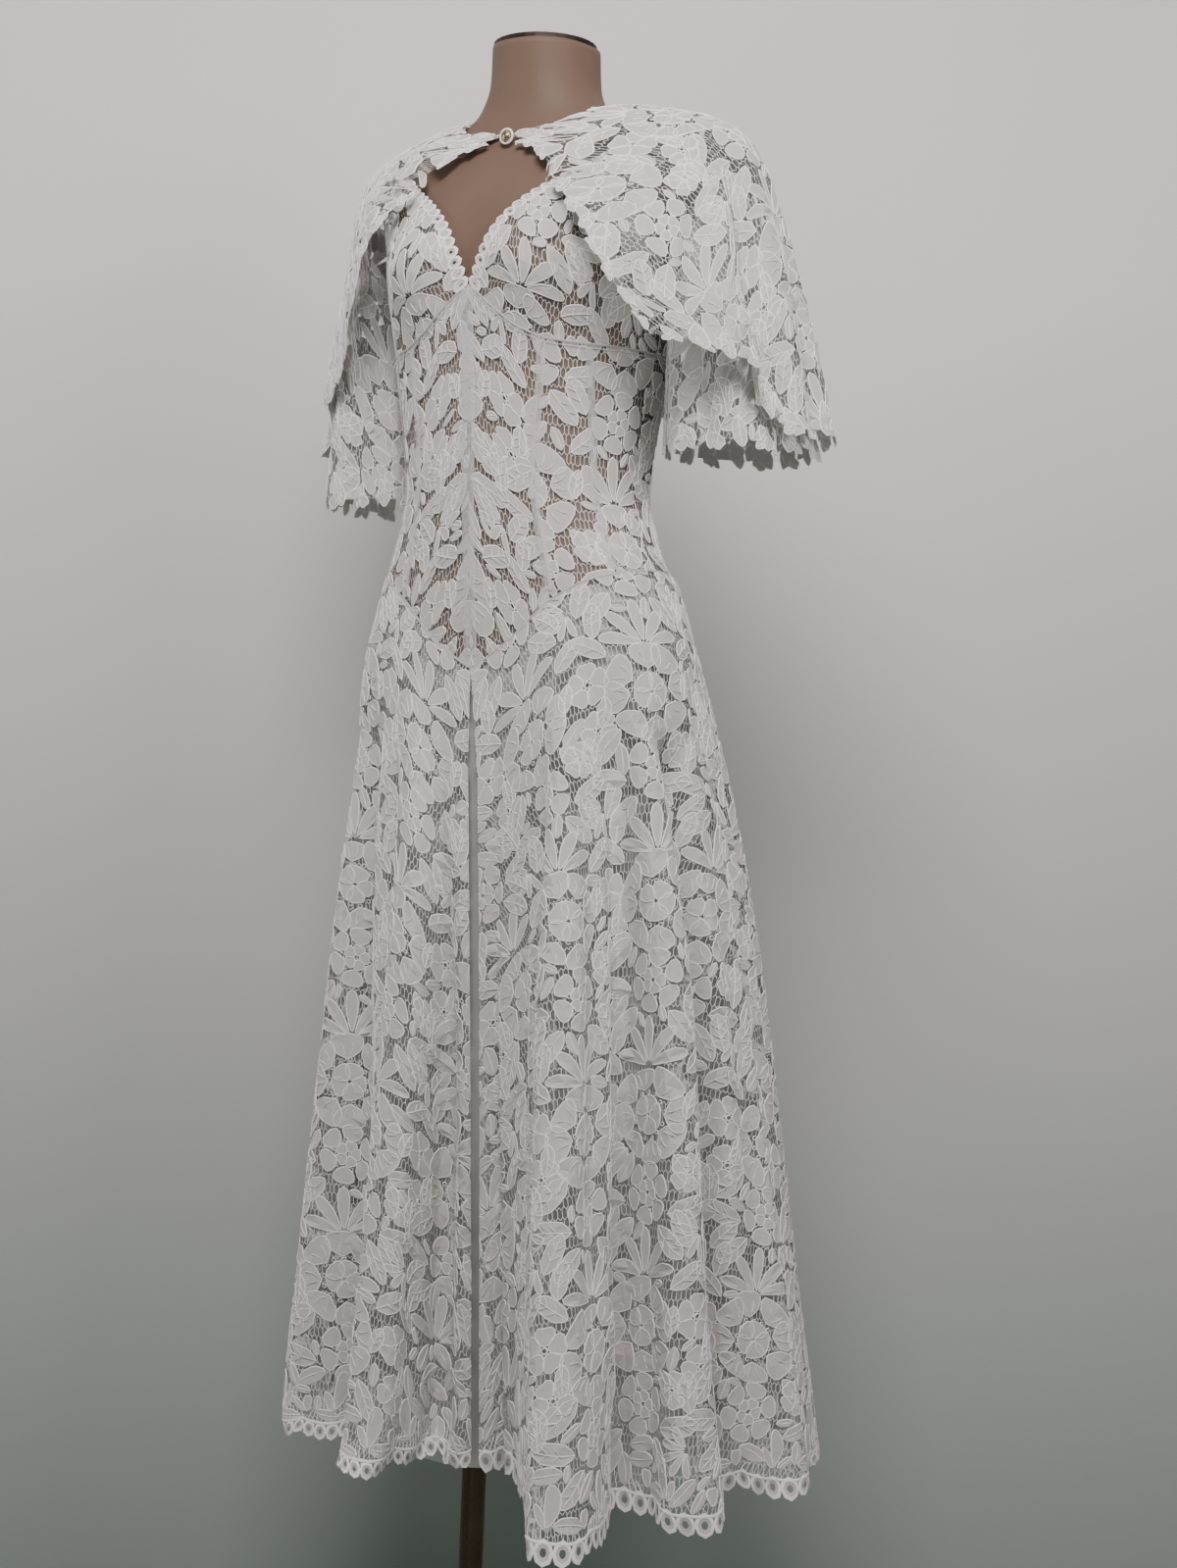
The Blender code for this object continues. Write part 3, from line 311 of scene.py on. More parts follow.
def slopes_of(places, values):
    """Slopes at each row of a table, level at its highs and lows."""
    rates = np.diff(values) / np.diff(places)
    before, after = rates[:-1], rates[1:]
    same_way = before * after > 0
    total = np.where(same_way, before + after, 1.0)
    inner = np.where(same_way, 2 * before * after / total, 0.0)
    return np.concatenate([rates[:1], inner, rates[-1:]])


def read_curve(places, values, at):
    """Smooth curve through the rows of a table, for an array of places."""
    places, values = np.array(places, float), np.array(values, float)
    at = np.clip(at, places[0], places[-1])
    index = np.clip(np.searchsorted(places, at, side="right") - 1, 0, len(places) - 2)
    slopes = slopes_of(places, values)
    width = places[index + 1] - places[index]
    t = (at - places[index]) / width
    return (values[index] * (2 * t ** 3 - 3 * t ** 2 + 1) + values[index + 1] * (3 * t ** 2 - 2 * t ** 3)
            + slopes[index] * width * (t ** 3 - 2 * t ** 2 + t)
            + slopes[index + 1] * width * (t ** 3 - t ** 2))


def read_table(rows, at):
    columns = list(zip(*rows))
    return [read_curve(columns[0], column, at) for column in columns[1:]]


def outline_at(rows, t):
    places = np.arange(len(rows))
    angles, heights = zip(*rows)
    return read_curve(places, angles, t * (len(rows) - 1)), read_curve(places, heights, t * (len(rows) - 1))


def seam_height(rows, angle):
    around = np.asarray(angle) % 360
    return read_table(rows, np.minimum(around, 360 - around))[0]


def signed_power(value, power):
    return np.sign(value) * np.abs(value) ** power


def form_point(angle, height):
    """Points of the dress form; angle in degrees from the centre front, round by the wearer's left."""
    angle, height = np.broadcast_arrays(np.asarray(angle, float), np.asarray(height, float))
    half_width, front, back = read_table(FORM, height)
    turn = np.radians(angle - 90)
    power = 2 / FORM_SQUARENESS
    x = half_width * signed_power(np.cos(turn), power)
    ahead = np.sin(turn) < 0
    reach = np.where(ahead, FORM_MID - front, back - FORM_MID)
    y = FORM_MID + reach * signed_power(np.sin(turn), power)
    away = np.hypot(np.abs(x) - BUST_SIDE, height - BUST_HEIGHT) / BUST_SPREAD
    y -= np.where(ahead, BUST_REACH * np.exp(-away ** 2) * -np.sin(turn), 0.0)
    return np.stack([x, y, height], -1)


def unit(vectors):
    return vectors / np.maximum(np.linalg.norm(vectors, axis=-1, keepdims=True), 1e-12)


def on_form(angle, height, off):
    """Points that stand off the dress form, along its own outward direction."""
    step = 0.5
    lift = 0.002
    around = form_point(angle + step, height) - form_point(angle - step, height)
    up = form_point(angle, height + lift) - form_point(angle, height - lift)
    return form_point(angle, height) + unit(np.cross(around, up)) * np.asarray(off)[..., None]


def share_of_form(points, gap):
    """Below 1 inside the dress form grown by the gap, above 1 outside it."""
    half_width, front, back = read_table(FORM, points[..., 2])
    reach = np.where(points[..., 1] < FORM_MID, FORM_MID - front, back - FORM_MID)
    across = np.abs(points[..., 0]) / (half_width + gap)
    along = np.abs(points[..., 1] - FORM_MID) / (reach + gap)
    return (across ** FORM_SQUARENESS + along ** FORM_SQUARENESS) ** (1 / FORM_SQUARENESS)


def clear_of_form(points, gap):
    """Points that would sink into the dress form, moved out level with it."""
    share = share_of_form(points, gap)
    beside = (points[..., 2] >= FORM[0][0]) & (points[..., 2] <= FORM[-1][0]) & (share < 1)
    scale = np.where(beside, 1 / np.maximum(share, 0.05), 1.0)
    along = FORM_MID + (points[..., 1] - FORM_MID) * scale
    return np.stack([points[..., 0] * scale, along, points[..., 2]], -1)


def lifted_off_form(points, gap):
    """Points raised where they would sink into the shoulders of the dress form."""
    lower = points - np.stack([0 * gap, 0 * gap, gap], -1)
    step = 0.0005
    for _ in range(200):
        inside = (lower[..., 2] < FORM[-1][0]) & (share_of_form(lower, gap) < 1)
        lower[..., 2] += step * inside
    return np.stack([points[..., 0], points[..., 1], lower[..., 2] + gap], -1)


def grid_of(columns, rows):
    """Shares across and down a piece, as two arrays that broadcast together."""
    return np.linspace(0, 1, columns)[:, None], np.linspace(0, 1, rows)[None, :]


def bodice_points(side, first, last, columns=61, rows=121, off=BODICE_OFF):
    across, down = grid_of(columns, rows)
    low, high = PANEL_LEVELS[0], PANEL_LEVELS[-1]
    for _ in range(PANEL_ROUNDS):
        height = low + (high - low) * (1 - down) + 0 * across
        start = read_curve(PANEL_LEVELS, PANEL_EDGES[first], height)
        end = read_curve(PANEL_LEVELS, PANEL_EDGES[last], height)
        angle = start + (end - start) * across
        low = seam_height(WAIST_SEAM, angle) + SEAM_GAP
        high = seam_height(BUST_SEAM, angle) - SEAM_GAP
    return on_form(side * angle, height, off)


def channel_points(side, seam, columns=9, rows=81):
    across, down = grid_of(columns, rows)
    angle = PANEL_EDGES[seam][1]
    for _ in range(PANEL_ROUNDS):
        low = seam_height(WAIST_SEAM, angle + CHANNEL_SPAN) + CHANNEL_ABOVE_WAIST_SEAM
        high = seam_height(BUST_SEAM, angle) - CHANNEL_BELOW_BUST_SEAM
        height = low + (high - low) * (1 - down)
        angle = read_curve(PANEL_LEVELS, PANEL_EDGES[seam], height)
    turn = np.degrees((across - 0.5) * CHANNEL_WIDTH / read_table(FORM, height)[0])
    crown = TAPE * (1 - np.abs(2 * across - 1) ** 4)
    return on_form(side * angle + turn, height + 0 * across, TAPE_OFF + crown)


def patch_points(side, inner, outer, off, columns=101, rows=91):
    across, down = grid_of(columns, rows)
    up = 1 - down
    seam_angle = inner[0][0] + (outer[0][0] - inner[0][0]) * across
    seam_level = inner[0][1] + (outer[0][1] - inner[0][1]) * across
    drop = seam_height(BUST_SEAM, seam_angle) + SEAM_GAP - seam_level
    start, end = outline_at(inner, up), outline_at(outer, up)
    angle = start[0] + (end[0] - start[0]) * across
    height = start[1] + (end[1] - start[1]) * across + drop * (1 - up) ** 2
    lift = BODICE_OFF + (off - BODICE_OFF) * np.minimum(1.0, up * 4) + 0 * across
    return on_form(side * angle, height, lift)


def skirt_points(hem_rows, hem_angle, seam_angle, down, off, ease, below, narrower):
    start = on_form(seam_angle, seam_height(WAIST_SEAM, seam_angle) - below, off)
    reach, height = read_table(hem_rows, hem_angle)
    turn = np.radians(hem_angle)
    outward = np.stack([np.cos(turn), np.sin(turn)], -1)
    mean = (HEM_MEAN_SIDE + HEM_MEAN_BACK_GAIN * np.sin(turn) - narrower)[..., None]
    fall = down[..., None]
    flat = start[..., :2]
    place = flat + (HEM_MIDDLE + outward * mean - flat) * fall ** SPREAD_POWER
    place = place + outward * (reach[..., None] - mean) * fall ** FOLD_POWER
    drop = start[..., 2] + (height - start[..., 2]) * down
    gap = off + ease * np.minimum(1.0, down / HIP_EASE_BY)
    return clear_of_form(np.concatenate([place, drop[..., None]], -1), gap)


def quarter_points(name, hem_first, hem_last, seam_first, seam_last, columns=181, rows=141):
    fine = np.linspace(hem_first, hem_last, 400)
    reach, height = read_table(HEM_FOLDS, fine)
    turn = np.radians(fine)
    hem = np.stack([reach * np.cos(turn), reach * np.sin(turn), height], -1)
    run = np.concatenate([[0], np.cumsum(np.linalg.norm(np.diff(hem, axis=0), axis=1))])
    across, down = grid_of(columns, rows)
    hem_angle = np.interp(across * run[-1], run, fine) + 0 * down
    seam_angle = seam_first + (seam_last - seam_first) * across + 0 * down
    points = skirt_points(HEM_FOLDS, hem_angle, seam_angle, down + 0 * across, SKIRT_OFF, HIP_EASE,
                          SEAM_GAP, 0.0)
    share = np.clip((down - ARCH_FROM) / (1 - ARCH_FROM), 0, 1) ** 2
    points[..., 2] -= ARCH_DROP * share * np.abs(np.sin(np.pi * ARCHES * across)) ** 0.7
    if "front" in name:
        near = np.clip(1 - SLIT_COLUMNS * (across if name.endswith("left") else 1 - across), 0, 1)
        way = np.gradient(points[..., :2], axis=0) * (1 if name.endswith("left") else -1)
        ease = (near * np.minimum(1, down / SLIT_BY))[..., None]
        inward = unit(HEM_MIDDLE - points[..., :2])
        points[..., :2] += unit(way) * SLIT_HALF * ease + inward * SLIT_TURN * ease * down[..., None]
    return points


def lining_points(first, last, columns=91, rows=61):
    across, down = grid_of(columns, rows)
    hem_angle = first + (last - first) * across + 0 * down
    table_angle = np.where(hem_angle >= LINING_HEM[0][0], hem_angle, hem_angle + 360)
    return skirt_points(LINING_HEM, table_angle, hem_angle + 90, down + 0 * across, LINING_OFF,
                        HIP_EASE / 2, LINING_BELOW, LINING_NARROWER)


def smooth_through(points, t):
    """Smooth curve through the first axis of an array; t holds shares from 0 to 1."""
    last = len(points) - 1
    place = t * last
    index = np.minimum(place.astype(int), last - 1)
    u = (place - index).reshape(-1, *[1] * (points.ndim - 1))
    a, b, c, d = [points[np.clip(index + k, 0, last)] for k in (-1, 0, 1, 2)]
    return 0.5 * (2 * b + (c - a) * u + (2 * a - 5 * b + 4 * c - d) * u ** 2
                  + (3 * b - a - 3 * c + d) * u ** 3)


def cape_points(side, rows_of, columns=181, rows=101):
    sections = np.array([[on_form(row[0], row[1], CAPE_NECK_OFF), *row[2:]] for row in rows_of])
    across, down = grid_of(columns, rows)
    lines = smooth_through(sections, across[:, 0])
    points = smooth_through(lines.transpose(1, 0, 2), down[0]).transpose(1, 0, 2)
    ripple = CAPE_RIPPLE * down ** 2 * np.sin(np.pi * across) * np.sin(2 * np.pi * CAPE_RIPPLES * across)
    outward = unit(points[..., :2] - np.array([0, FORM_MID]))
    points[..., :2] += outward * ripple[..., None]
    gap = CAPE_NECK_OFF + (CAPE_OFF - CAPE_NECK_OFF) * np.minimum(1.0, down * 3) + 0 * across
    high = points[..., 2:] > CAPE_LIFT_FROM
    points = np.where(high, lifted_off_form(points, gap), clear_of_form(points, gap))
    points[..., 0] = side * np.maximum(points[..., 0], SEAM_GAP)
    return points


def sleeve_points(side, first, last, columns=101, rows=81):
    underarm = form_point(90, SLEEVE_UNDERARM_HEIGHT)
    underarm[0] += UPPER_BACK_OFF + SEAM_GAP
    underarm[1] = SLEEVE_TOP[1]
    middle = (underarm + SLEEVE_TOP) / 2
    across, down = grid_of(columns, rows)
    turn = np.radians(first + (last - first) * across)
    round_about = np.stack([np.cos(turn), np.sin(turn), 0 * turn], -1)
    upper = middle + (SLEEVE_TOP - middle) * np.cos(turn)[..., None]
    upper[..., 1] += SLEEVE_TOP_HALF_DEPTH * np.sin(turn)
    lower = SLEEVE_HEM_MIDDLE + round_about * np.array([SLEEVE_HEM_HALF_WIDTH, SLEEVE_HEM_HALF_DEPTH, 0])
    lower[..., 2] -= SLEEVE_RIGHT_LOWER * (side < 0)
    points = upper + (lower - upper) * down[..., None]
    reach = 1.0 if side > 0 else 1.0 + (SLEEVE_RIGHT_REACH - 1.0) * down
    points[..., 0] *= side * reach
    return points


# Cloth as a surface with a flat chart

def read_grid(grid, u, v):
    """Value of a grid at shares across and down, carried on past its edges."""
    columns, rows = grid.shape[0] - 1, grid.shape[1] - 1
    i = np.clip((u * columns).astype(int), 0, columns - 1)
    j = np.clip((v * rows).astype(int), 0, rows - 1)
    a, b = (u * columns - i)[..., None], (v * rows - j)[..., None]
    return ((grid[i, j] * (1 - a) + grid[i + 1, j] * a) * (1 - b)
            + (grid[i, j + 1] * (1 - a) + grid[i + 1, j + 1] * a) * b)


class Panel:
    """One piece of cloth: its worn surface, and its flat chart in metres, x across and y down."""

    LEAST_FAN = 0.001
    INDEX_CELL = 0.008
    INDEX_MARGIN = 0.06
    FIND_ROUNDS = 6
    FIND_STEP = 0.004
    EDGE_HOLD = 14

    def __init__(self, name, points, inside):
        self.name = name
        self.points = points
        self.inside = np.array(inside, float)
        self.make_chart()
        self.make_normals()
        for crease in CREASES.get(name, ()):
            self.fold(*crease)
        self.make_chart()
        self.make_normals()

    def make_chart(self):
        across = np.linalg.norm(np.diff(self.points, axis=0), axis=2)
        down = np.linalg.norm(np.diff(self.points, axis=1), axis=2)
        run_across = np.concatenate([np.zeros((1, across.shape[1])), np.cumsum(across, axis=0)])
        run_down = np.concatenate([np.zeros((down.shape[0], 1)), np.cumsum(down, axis=1)], axis=1)
        self.widths = run_across[-1]
        self.lengths = run_down[:, -1]
        self.runs = {"hem": run_across[:, -1], "top": run_across[:, 0], "first": run_down[0],
                     "last": run_down[-1]}
        fan = (self.widths[-1] - self.widths[0]) / self.lengths.mean()
        self.fan = math.copysign(max(abs(fan), self.LEAST_FAN), fan)
        self.start = self.widths[0] / self.fan
        radius = self.start + run_down
        turn = (run_across - self.widths / 2) / radius
        self.chart = np.stack([radius * np.sin(turn), radius * np.cos(turn) - self.start], -1)
        self.low, self.high = self.chart.min((0, 1)), self.chart.max((0, 1))
        cells = across[:, :-1] * (down[:-1] + down[1:]) / 2
        self.area = float(cells.sum())
        self.make_index()

    def make_normals(self):
        normals = unit(np.cross(np.gradient(self.points, axis=0), np.gradient(self.points, axis=1)))
        outward = (normals * (self.points - self.inside)).sum()
        self.normals = normals * np.sign(outward)

    def fold(self, u0, v0, u1, v1, width, height):
        """Soft ridge, or trough if the height is negative, from one place to another."""
        ends = read_grid(self.chart, np.array([u0, u1]), np.array([v0, v1]))
        along = ends[1] - ends[0]
        share = np.clip(((self.chart - ends[0]) @ along) / (along @ along), 0, 1)
        away = np.linalg.norm(self.chart - (ends[0] + share[..., None] * along), axis=-1)
        across = np.linspace(0, 1, len(self.points))[:, None]
        held = np.clip(self.EDGE_HOLD * np.minimum(across, 1 - across), 0, 1)
        growing = np.sin(np.pi / 2 * np.clip(2.2 * share, 0, 1))
        fading = 1.0 if v1 >= 1 else np.sin(np.pi / 2 * np.clip(3 * (1 - share), 0, 1))
        rise = FOLD_DEPTH * height * np.exp(-(away / width) ** 2) * growing * fading * held
        self.points = self.points + self.normals * rise[..., None]

    def make_index(self):
        """Rough shares for each small square of the chart, carried out past the cloth's edges."""
        columns, rows = self.chart.shape[:2]
        size = np.ceil((self.high - self.low + 2 * self.INDEX_MARGIN) / self.INDEX_CELL).astype(int)
        self.index = np.full((*size, 2), np.nan)
        shares = np.stack(np.broadcast_arrays(*grid_of(columns, rows)), -1)
        self.index[self.index_cells(self.chart)] = shares.reshape(-1, 2)
        while np.isnan(self.index).any():
            for axis, step in ((0, 1), (0, -1), (1, 1), (1, -1)):
                beside = np.roll(self.index, step, axis=axis)
                wrapped = 0 if step > 0 else -1
                beside[(wrapped,) if axis == 0 else (slice(None), wrapped)] = np.nan
                empty = np.isnan(self.index)
                self.index[empty] = beside[empty]

    def index_cells(self, flat):
        cells = ((flat - self.low + self.INDEX_MARGIN) / self.INDEX_CELL).astype(int)
        return tuple(np.clip(cells, 0, np.array(self.index.shape[:2]) - 1).reshape(-1, 2).T)

    def find(self, flat):
        """Shares across and down of places on the flat chart."""
        near = self.index[self.index_cells(flat)].reshape(flat.shape)
        u, v = near[..., 0], near[..., 1]
        for _ in range(self.FIND_ROUNDS):
            here = read_grid(self.chart, u, v)
            du = (read_grid(self.chart, u + self.FIND_STEP, v) - here) / self.FIND_STEP
            dv = (read_grid(self.chart, u, v + self.FIND_STEP) - here) / self.FIND_STEP
            gap = flat - here
            size = du[..., 0] * dv[..., 1] - du[..., 1] * dv[..., 0]
            size = np.where(np.abs(size) < 1e-9, 1e-9, size)
            across = (gap[..., 0] * dv[..., 1] - gap[..., 1] * dv[..., 0]) / size
            down = (du[..., 0] * gap[..., 1] - du[..., 1] * gap[..., 0]) / size
            u = np.clip(u + np.clip(across, -0.1, 0.1), -0.3, 1.3)
            v = np.clip(v + np.clip(down, -0.1, 0.1), -0.3, 1.3)
        return u, v

    def edge_shares(self, edge, along, inward):
        """Shares of places measured along an edge and inward from it, in metres."""
        run = self.runs[edge]
        share = np.interp(along, run, np.linspace(0, 1, len(run)))
        across = self.lengths if edge in ("hem", "top") else self.widths
        reach = inward / np.interp(share, np.linspace(0, 1, len(across)), across)
        if edge in ("hem", "last"):
            reach = 1 - reach
        return (share, reach) if edge in ("hem", "top") else (reach, share)

    def edge_length(self, edge):
        return self.runs[edge][-1]

    def place(self, u, v, lift):
        return read_grid(self.points, u, v) + unit(read_grid(self.normals, u, v)) * lift[..., None]


# Meshes

def make_object(name, points, faces, materials, slots=None, chart=None, smooth=True):
    """Mesh object from arrays; chart holds a flat place in metres for each point."""
    mesh = bpy.data.meshes.new(name)
    mesh.from_pydata(points.tolist(), [], faces if isinstance(faces, list) else faces.tolist())
    for material in materials:
        mesh.materials.append(material)
    if slots is not None:
        mesh.polygons.foreach_set("material_index", np.asarray(slots, np.int32))
    mesh.polygons.foreach_set("use_smooth", np.broadcast_to(smooth, len(mesh.polygons)))
    if chart is not None:
        add_map(mesh, "OFBake", chart / max(np.ptp(chart[:, 0]), np.ptp(chart[:, 1])))
    mesh.update()
    thing = bpy.data.objects.new(name, mesh)
    bpy.context.scene.collection.objects.link(thing)
    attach(thing, "root")
    return thing


def add_map(mesh, name, places):
    corners = np.empty(len(mesh.loops), np.int32)
    mesh.loops.foreach_get("vertex_index", corners)
    layer = mesh.uv_layers.new(name=name)
    layer.data.foreach_set("uv", places[corners].astype(np.float32).ravel())


def grid_faces(columns, rows):
    first = (np.arange(columns)[:, None] * (rows + 1) + np.arange(rows)).ravel()
    return np.stack([first, first + rows + 1, first + rows + 2, first + 1], -1)


def ground_of(panel, material, lift=0.0003, step=2):
    """The sheer ground of a panel, on the form of its solid."""
    points = (panel.points + panel.normals * lift)[::step, ::step]
    columns, rows = points.shape[0] - 1, points.shape[1] - 1
    chart = panel.chart[::step, ::step].reshape(-1, 2) - panel.low
    return make_object(f"{panel.name}_ground", points.reshape(-1, 3), grid_faces(columns, rows), [material],
                       chart=chart)


def tube(name, points, radius, material, sides=8, closed=False):
    """Round cord along a list of points."""
    points = np.asarray(points, float)
    open_end = np.vstack([points[1:], 2 * points[-1:] - points[-2:-1]])
    ahead = np.roll(points, -1, axis=0) if closed else open_end
    behind = np.roll(points, 1, axis=0) if closed else np.vstack([2 * points[:1] - points[1:2], points[:-1]])
    along = unit(ahead - behind)
    side = unit(np.cross(along, np.array([0.03, 0.05, 1.0])))
    up = np.cross(side, along)
    turn = 2 * np.pi * np.arange(sides) / sides
    ring = side[:, None] * np.cos(turn)[None, :, None] + up[:, None] * np.sin(turn)[None, :, None]
    skin = (points[:, None] + ring * radius).reshape(-1, 3)
    steps = len(points) if closed else len(points) - 1
    a = (np.arange(steps)[:, None] * sides + np.arange(sides)).ravel()
    b = (np.arange(steps)[:, None] * sides + (np.arange(sides) + 1) % sides).ravel()
    faces = np.stack([a, b, (b + sides) % len(skin), (a + sides) % len(skin)], -1).tolist()
    if not closed:
        faces += [list(range(sides))[::-1], list(range(len(skin) - sides, len(skin)))]
    return make_object(name, skin, faces, [material])


# Lace motifs, each outline along +x from its base at the origin

def petal_outline(length, width, notch=0.10, wave=0.0):
    turn = 2 * np.pi * np.arange(PATCH_POINTS) / PATCH_POINTS
    near_tip = np.exp(-(np.minimum(turn, 2 * np.pi - turn) / 0.35) ** 2)
    x = length * (0.5 + 0.5 * np.cos(turn) - notch * near_tip + wave * np.cos(5 * turn))
    y = width / 2 * np.sin(turn) * (1 + 0.28 * np.cos(turn))
    return np.stack([x, y], -1)


def leaf_outline(length, width, bend=0.0, teeth=0.05):
    turn = 2 * np.pi * np.arange(PATCH_POINTS) / PATCH_POINTS
    x = length * (0.5 + 0.5 * np.cos(turn))
    y = width / 2 * signed_power(np.sin(turn), 1.3) * (1 + teeth * (-1) ** np.arange(PATCH_POINTS))
    return np.stack([x, y + bend * length * (x / length) ** 2], -1)


def drop_outline(length, width, bend=0.18):
    turn = 2 * np.pi * np.arange(PATCH_POINTS) / PATCH_POINTS
    x = length * (0.5 + 0.5 * np.cos(turn))
    y = width / 2 * np.sin(turn) * (1 + 0.45 * np.cos(turn))
    return np.stack([x, y + bend * length * (x / length) ** 2], -1)


def turned(points, angle, at):
    """Points turned by an angle in degrees about the origin, then moved."""
    a = math.radians(angle)
    spin = np.array([[math.cos(a), math.sin(a)], [-math.sin(a), math.cos(a)]])
    return points @ spin + np.asarray(at)


def away_from(at, angle, distance):
    a = math.radians(angle)
    return np.asarray(at) + distance * np.array([math.cos(a), math.sin(a)])


class Lace:
    """Raised patches, rings and cords of one panel, gathered before they are laid on it."""

    MOST_STRETCH = 2.0
    STRETCH_ROOM = 0.004
    LIFT = 0.0003
    REPEAT_MARGIN = 0.02

    def __init__(self, panel, seed):
        self.panel = panel
        self.chance = np.random.default_rng(seed)
        self.patches = []
        self.buds = []
        self.rings = []
        self.veins = []
        shape = np.ceil((panel.high - panel.low + 0.02) / COVER_CELL).astype(int)
        self.cover = np.zeros(shape, bool)

    def cells(self, flat):
        index = ((flat - self.panel.low + 0.01) / COVER_CELL).astype(int)
        return tuple(np.clip(index, 0, np.array(self.cover.shape) - 1).reshape(-1, 2).T)

    def mark(self, outline, centre):
        edge = np.concatenate([outline + (np.roll(outline, -1, axis=0) - outline) * k / 6 for k in range(6)])
        shares = np.linspace(0, 1, max(3, int(np.ptp(outline, axis=0).max() / COVER_CELL)))
        self.cover[self.cells(centre + (edge - centre) * shares[:, None, None])] = True

    def patch(self, outline, angle, at, lift=0.0002, dome=0.0001, edge=None, small=False):
        """One filled, corded shape; edge names the border that it is measured from."""
        placed = turned(outline, angle, at)
        centre = placed.mean(0)
        flat = placed
        if edge:
            flat = read_grid(self.panel.chart, *self.panel.edge_shares(edge, placed[:, 0], placed[:, 1]))
        self.mark(flat, flat.mean(0))
        (self.buds if small else self.patches).append((edge, placed, centre, lift, dome, angle))

    def ring(self, at, outer, inner, lift=0.0002, edge=None):
        turn = 2 * np.pi * np.arange(RING_POINTS) / RING_POINTS
        circle = np.stack([np.cos(turn), np.sin(turn)], -1)
        self.rings.append((edge, np.asarray(at), circle * outer, circle * inner, lift))
        flat = np.asarray(at) + circle * outer
        if edge:
            flat = read_grid(self.panel.chart, *self.panel.edge_shares(edge, flat[:, 0], flat[:, 1]))
        self.mark(flat, flat.mean(0))

    def vein(self, start, end, bow=0.0, width=0.0009, lift=0.0007, edge=None):
        """Raised cord from one place to another, bowed sideways by a share of its length."""
        share = np.linspace(0, 1, VEIN_POINTS)[:, None]
        start, end = np.asarray(start, float), np.asarray(end, float)
        along = end - start
        sideways = np.array([-along[1], along[0]])
        line = start + along * share + sideways * bow * 4 * share * (1 - share)
        self.veins.append((edge, line, width, lift))

    def leaf(self, at, size, angle, edge=None, small=False):
        wide = size * 0.50
        bend = self.chance.uniform(-0.10, 0.10)
        self.patch(leaf_outline(size, wide, bend), angle, at, lift=0.0003, edge=edge, small=small)
        tip = turned(np.array([[size * 0.9, bend * size * 0.81]]), angle, at)[0]
        self.vein(at, tip, -bend * 0.5, edge=edge)
        if small:
            return
        for share in (0.35, 0.6):
            for side in (-1, 1):
                start = turned(np.array([[size * share, bend * size * share ** 2]]), angle, at)[0]
                end = np.array([[size * (share + 0.16), side * wide * 0.30 + bend * size * share ** 2]])
                end = turned(end, angle, at)[0]
                self.vein(start, end, width=0.0006, edge=edge)

    def flower(self, at, size, angle, edge=None):
        for k in range(5):
            way = angle + 72 * k
            self.patch(petal_outline(size * 0.44, size * 0.46), way, away_from(at, way, size * 0.08),
                       lift=0.0002 + 0.0001 * (k % 2), edge=edge)
        self.ring(at, size * 0.085, size * 0.040, lift=0.0008, edge=edge)

    def rose(self, at, size, angle):
        for k in range(6):
            way = angle + 60 * k
            self.patch(petal_outline(size * 0.30, size * 0.36, 0.06, 0.02), way,
                       away_from(at, way, size * 0.20), lift=0.0002 + 0.0002 * (k % 2))
        for k in range(5):
            way = angle + 20 + 72 * k
            self.patch(petal_outline(size * 0.20, size * 0.20), way, away_from(at, way, size * 0.03),
                       lift=0.0007)
        for k in range(6):
            way = angle + 30 + 60 * k
            self.vein(away_from(at, way, size * 0.24), away_from(at, way + 4, size * 0.40), 0.1, 0.0007)

    def peony(self, at, size, angle):
        for k in range(8):
            way = angle + 45 * k + self.chance.uniform(-7, 7)
            grown = size * self.chance.uniform(0.22, 0.32)
            self.patch(petal_outline(grown, size * self.chance.uniform(0.32, 0.42), 0.08, 0.03), way,
                       away_from(at, way, size * 0.25), lift=0.0002 + 0.0003 * (k % 2))
            for turn in (-6, 6):
                self.vein(away_from(at, way + turn, size * 0.30),
                          away_from(at, way + turn * 1.6, size * 0.43), 0.08, 0.0006)
        for k in range(5):
            way = angle + 15 + 72 * k + self.chance.uniform(-9, 9)
            self.patch(petal_outline(size * 0.20, size * self.chance.uniform(0.18, 0.26), 0.08, 0.03), way,
                       away_from(at, way, size * 0.02), lift=0.0006 + 0.0003 * (k % 2))
        for k in range(13):
            way = angle + 27.7 * k
            self.ring(away_from(at, way, size * self.chance.uniform(0.20, 0.25)), size * 0.026, size * 0.013)

    def plumes(self, at, size, angle):
        for k, spread in enumerate((-64, -34, -2, 30, 60)):
            self.patch(drop_outline(size * (0.95 - 0.05 * abs(k - 2)), size * 0.27, 0.10 * (k - 2)),
                       angle + spread, away_from(at, angle + spread, size * 0.12), lift=0.0003)

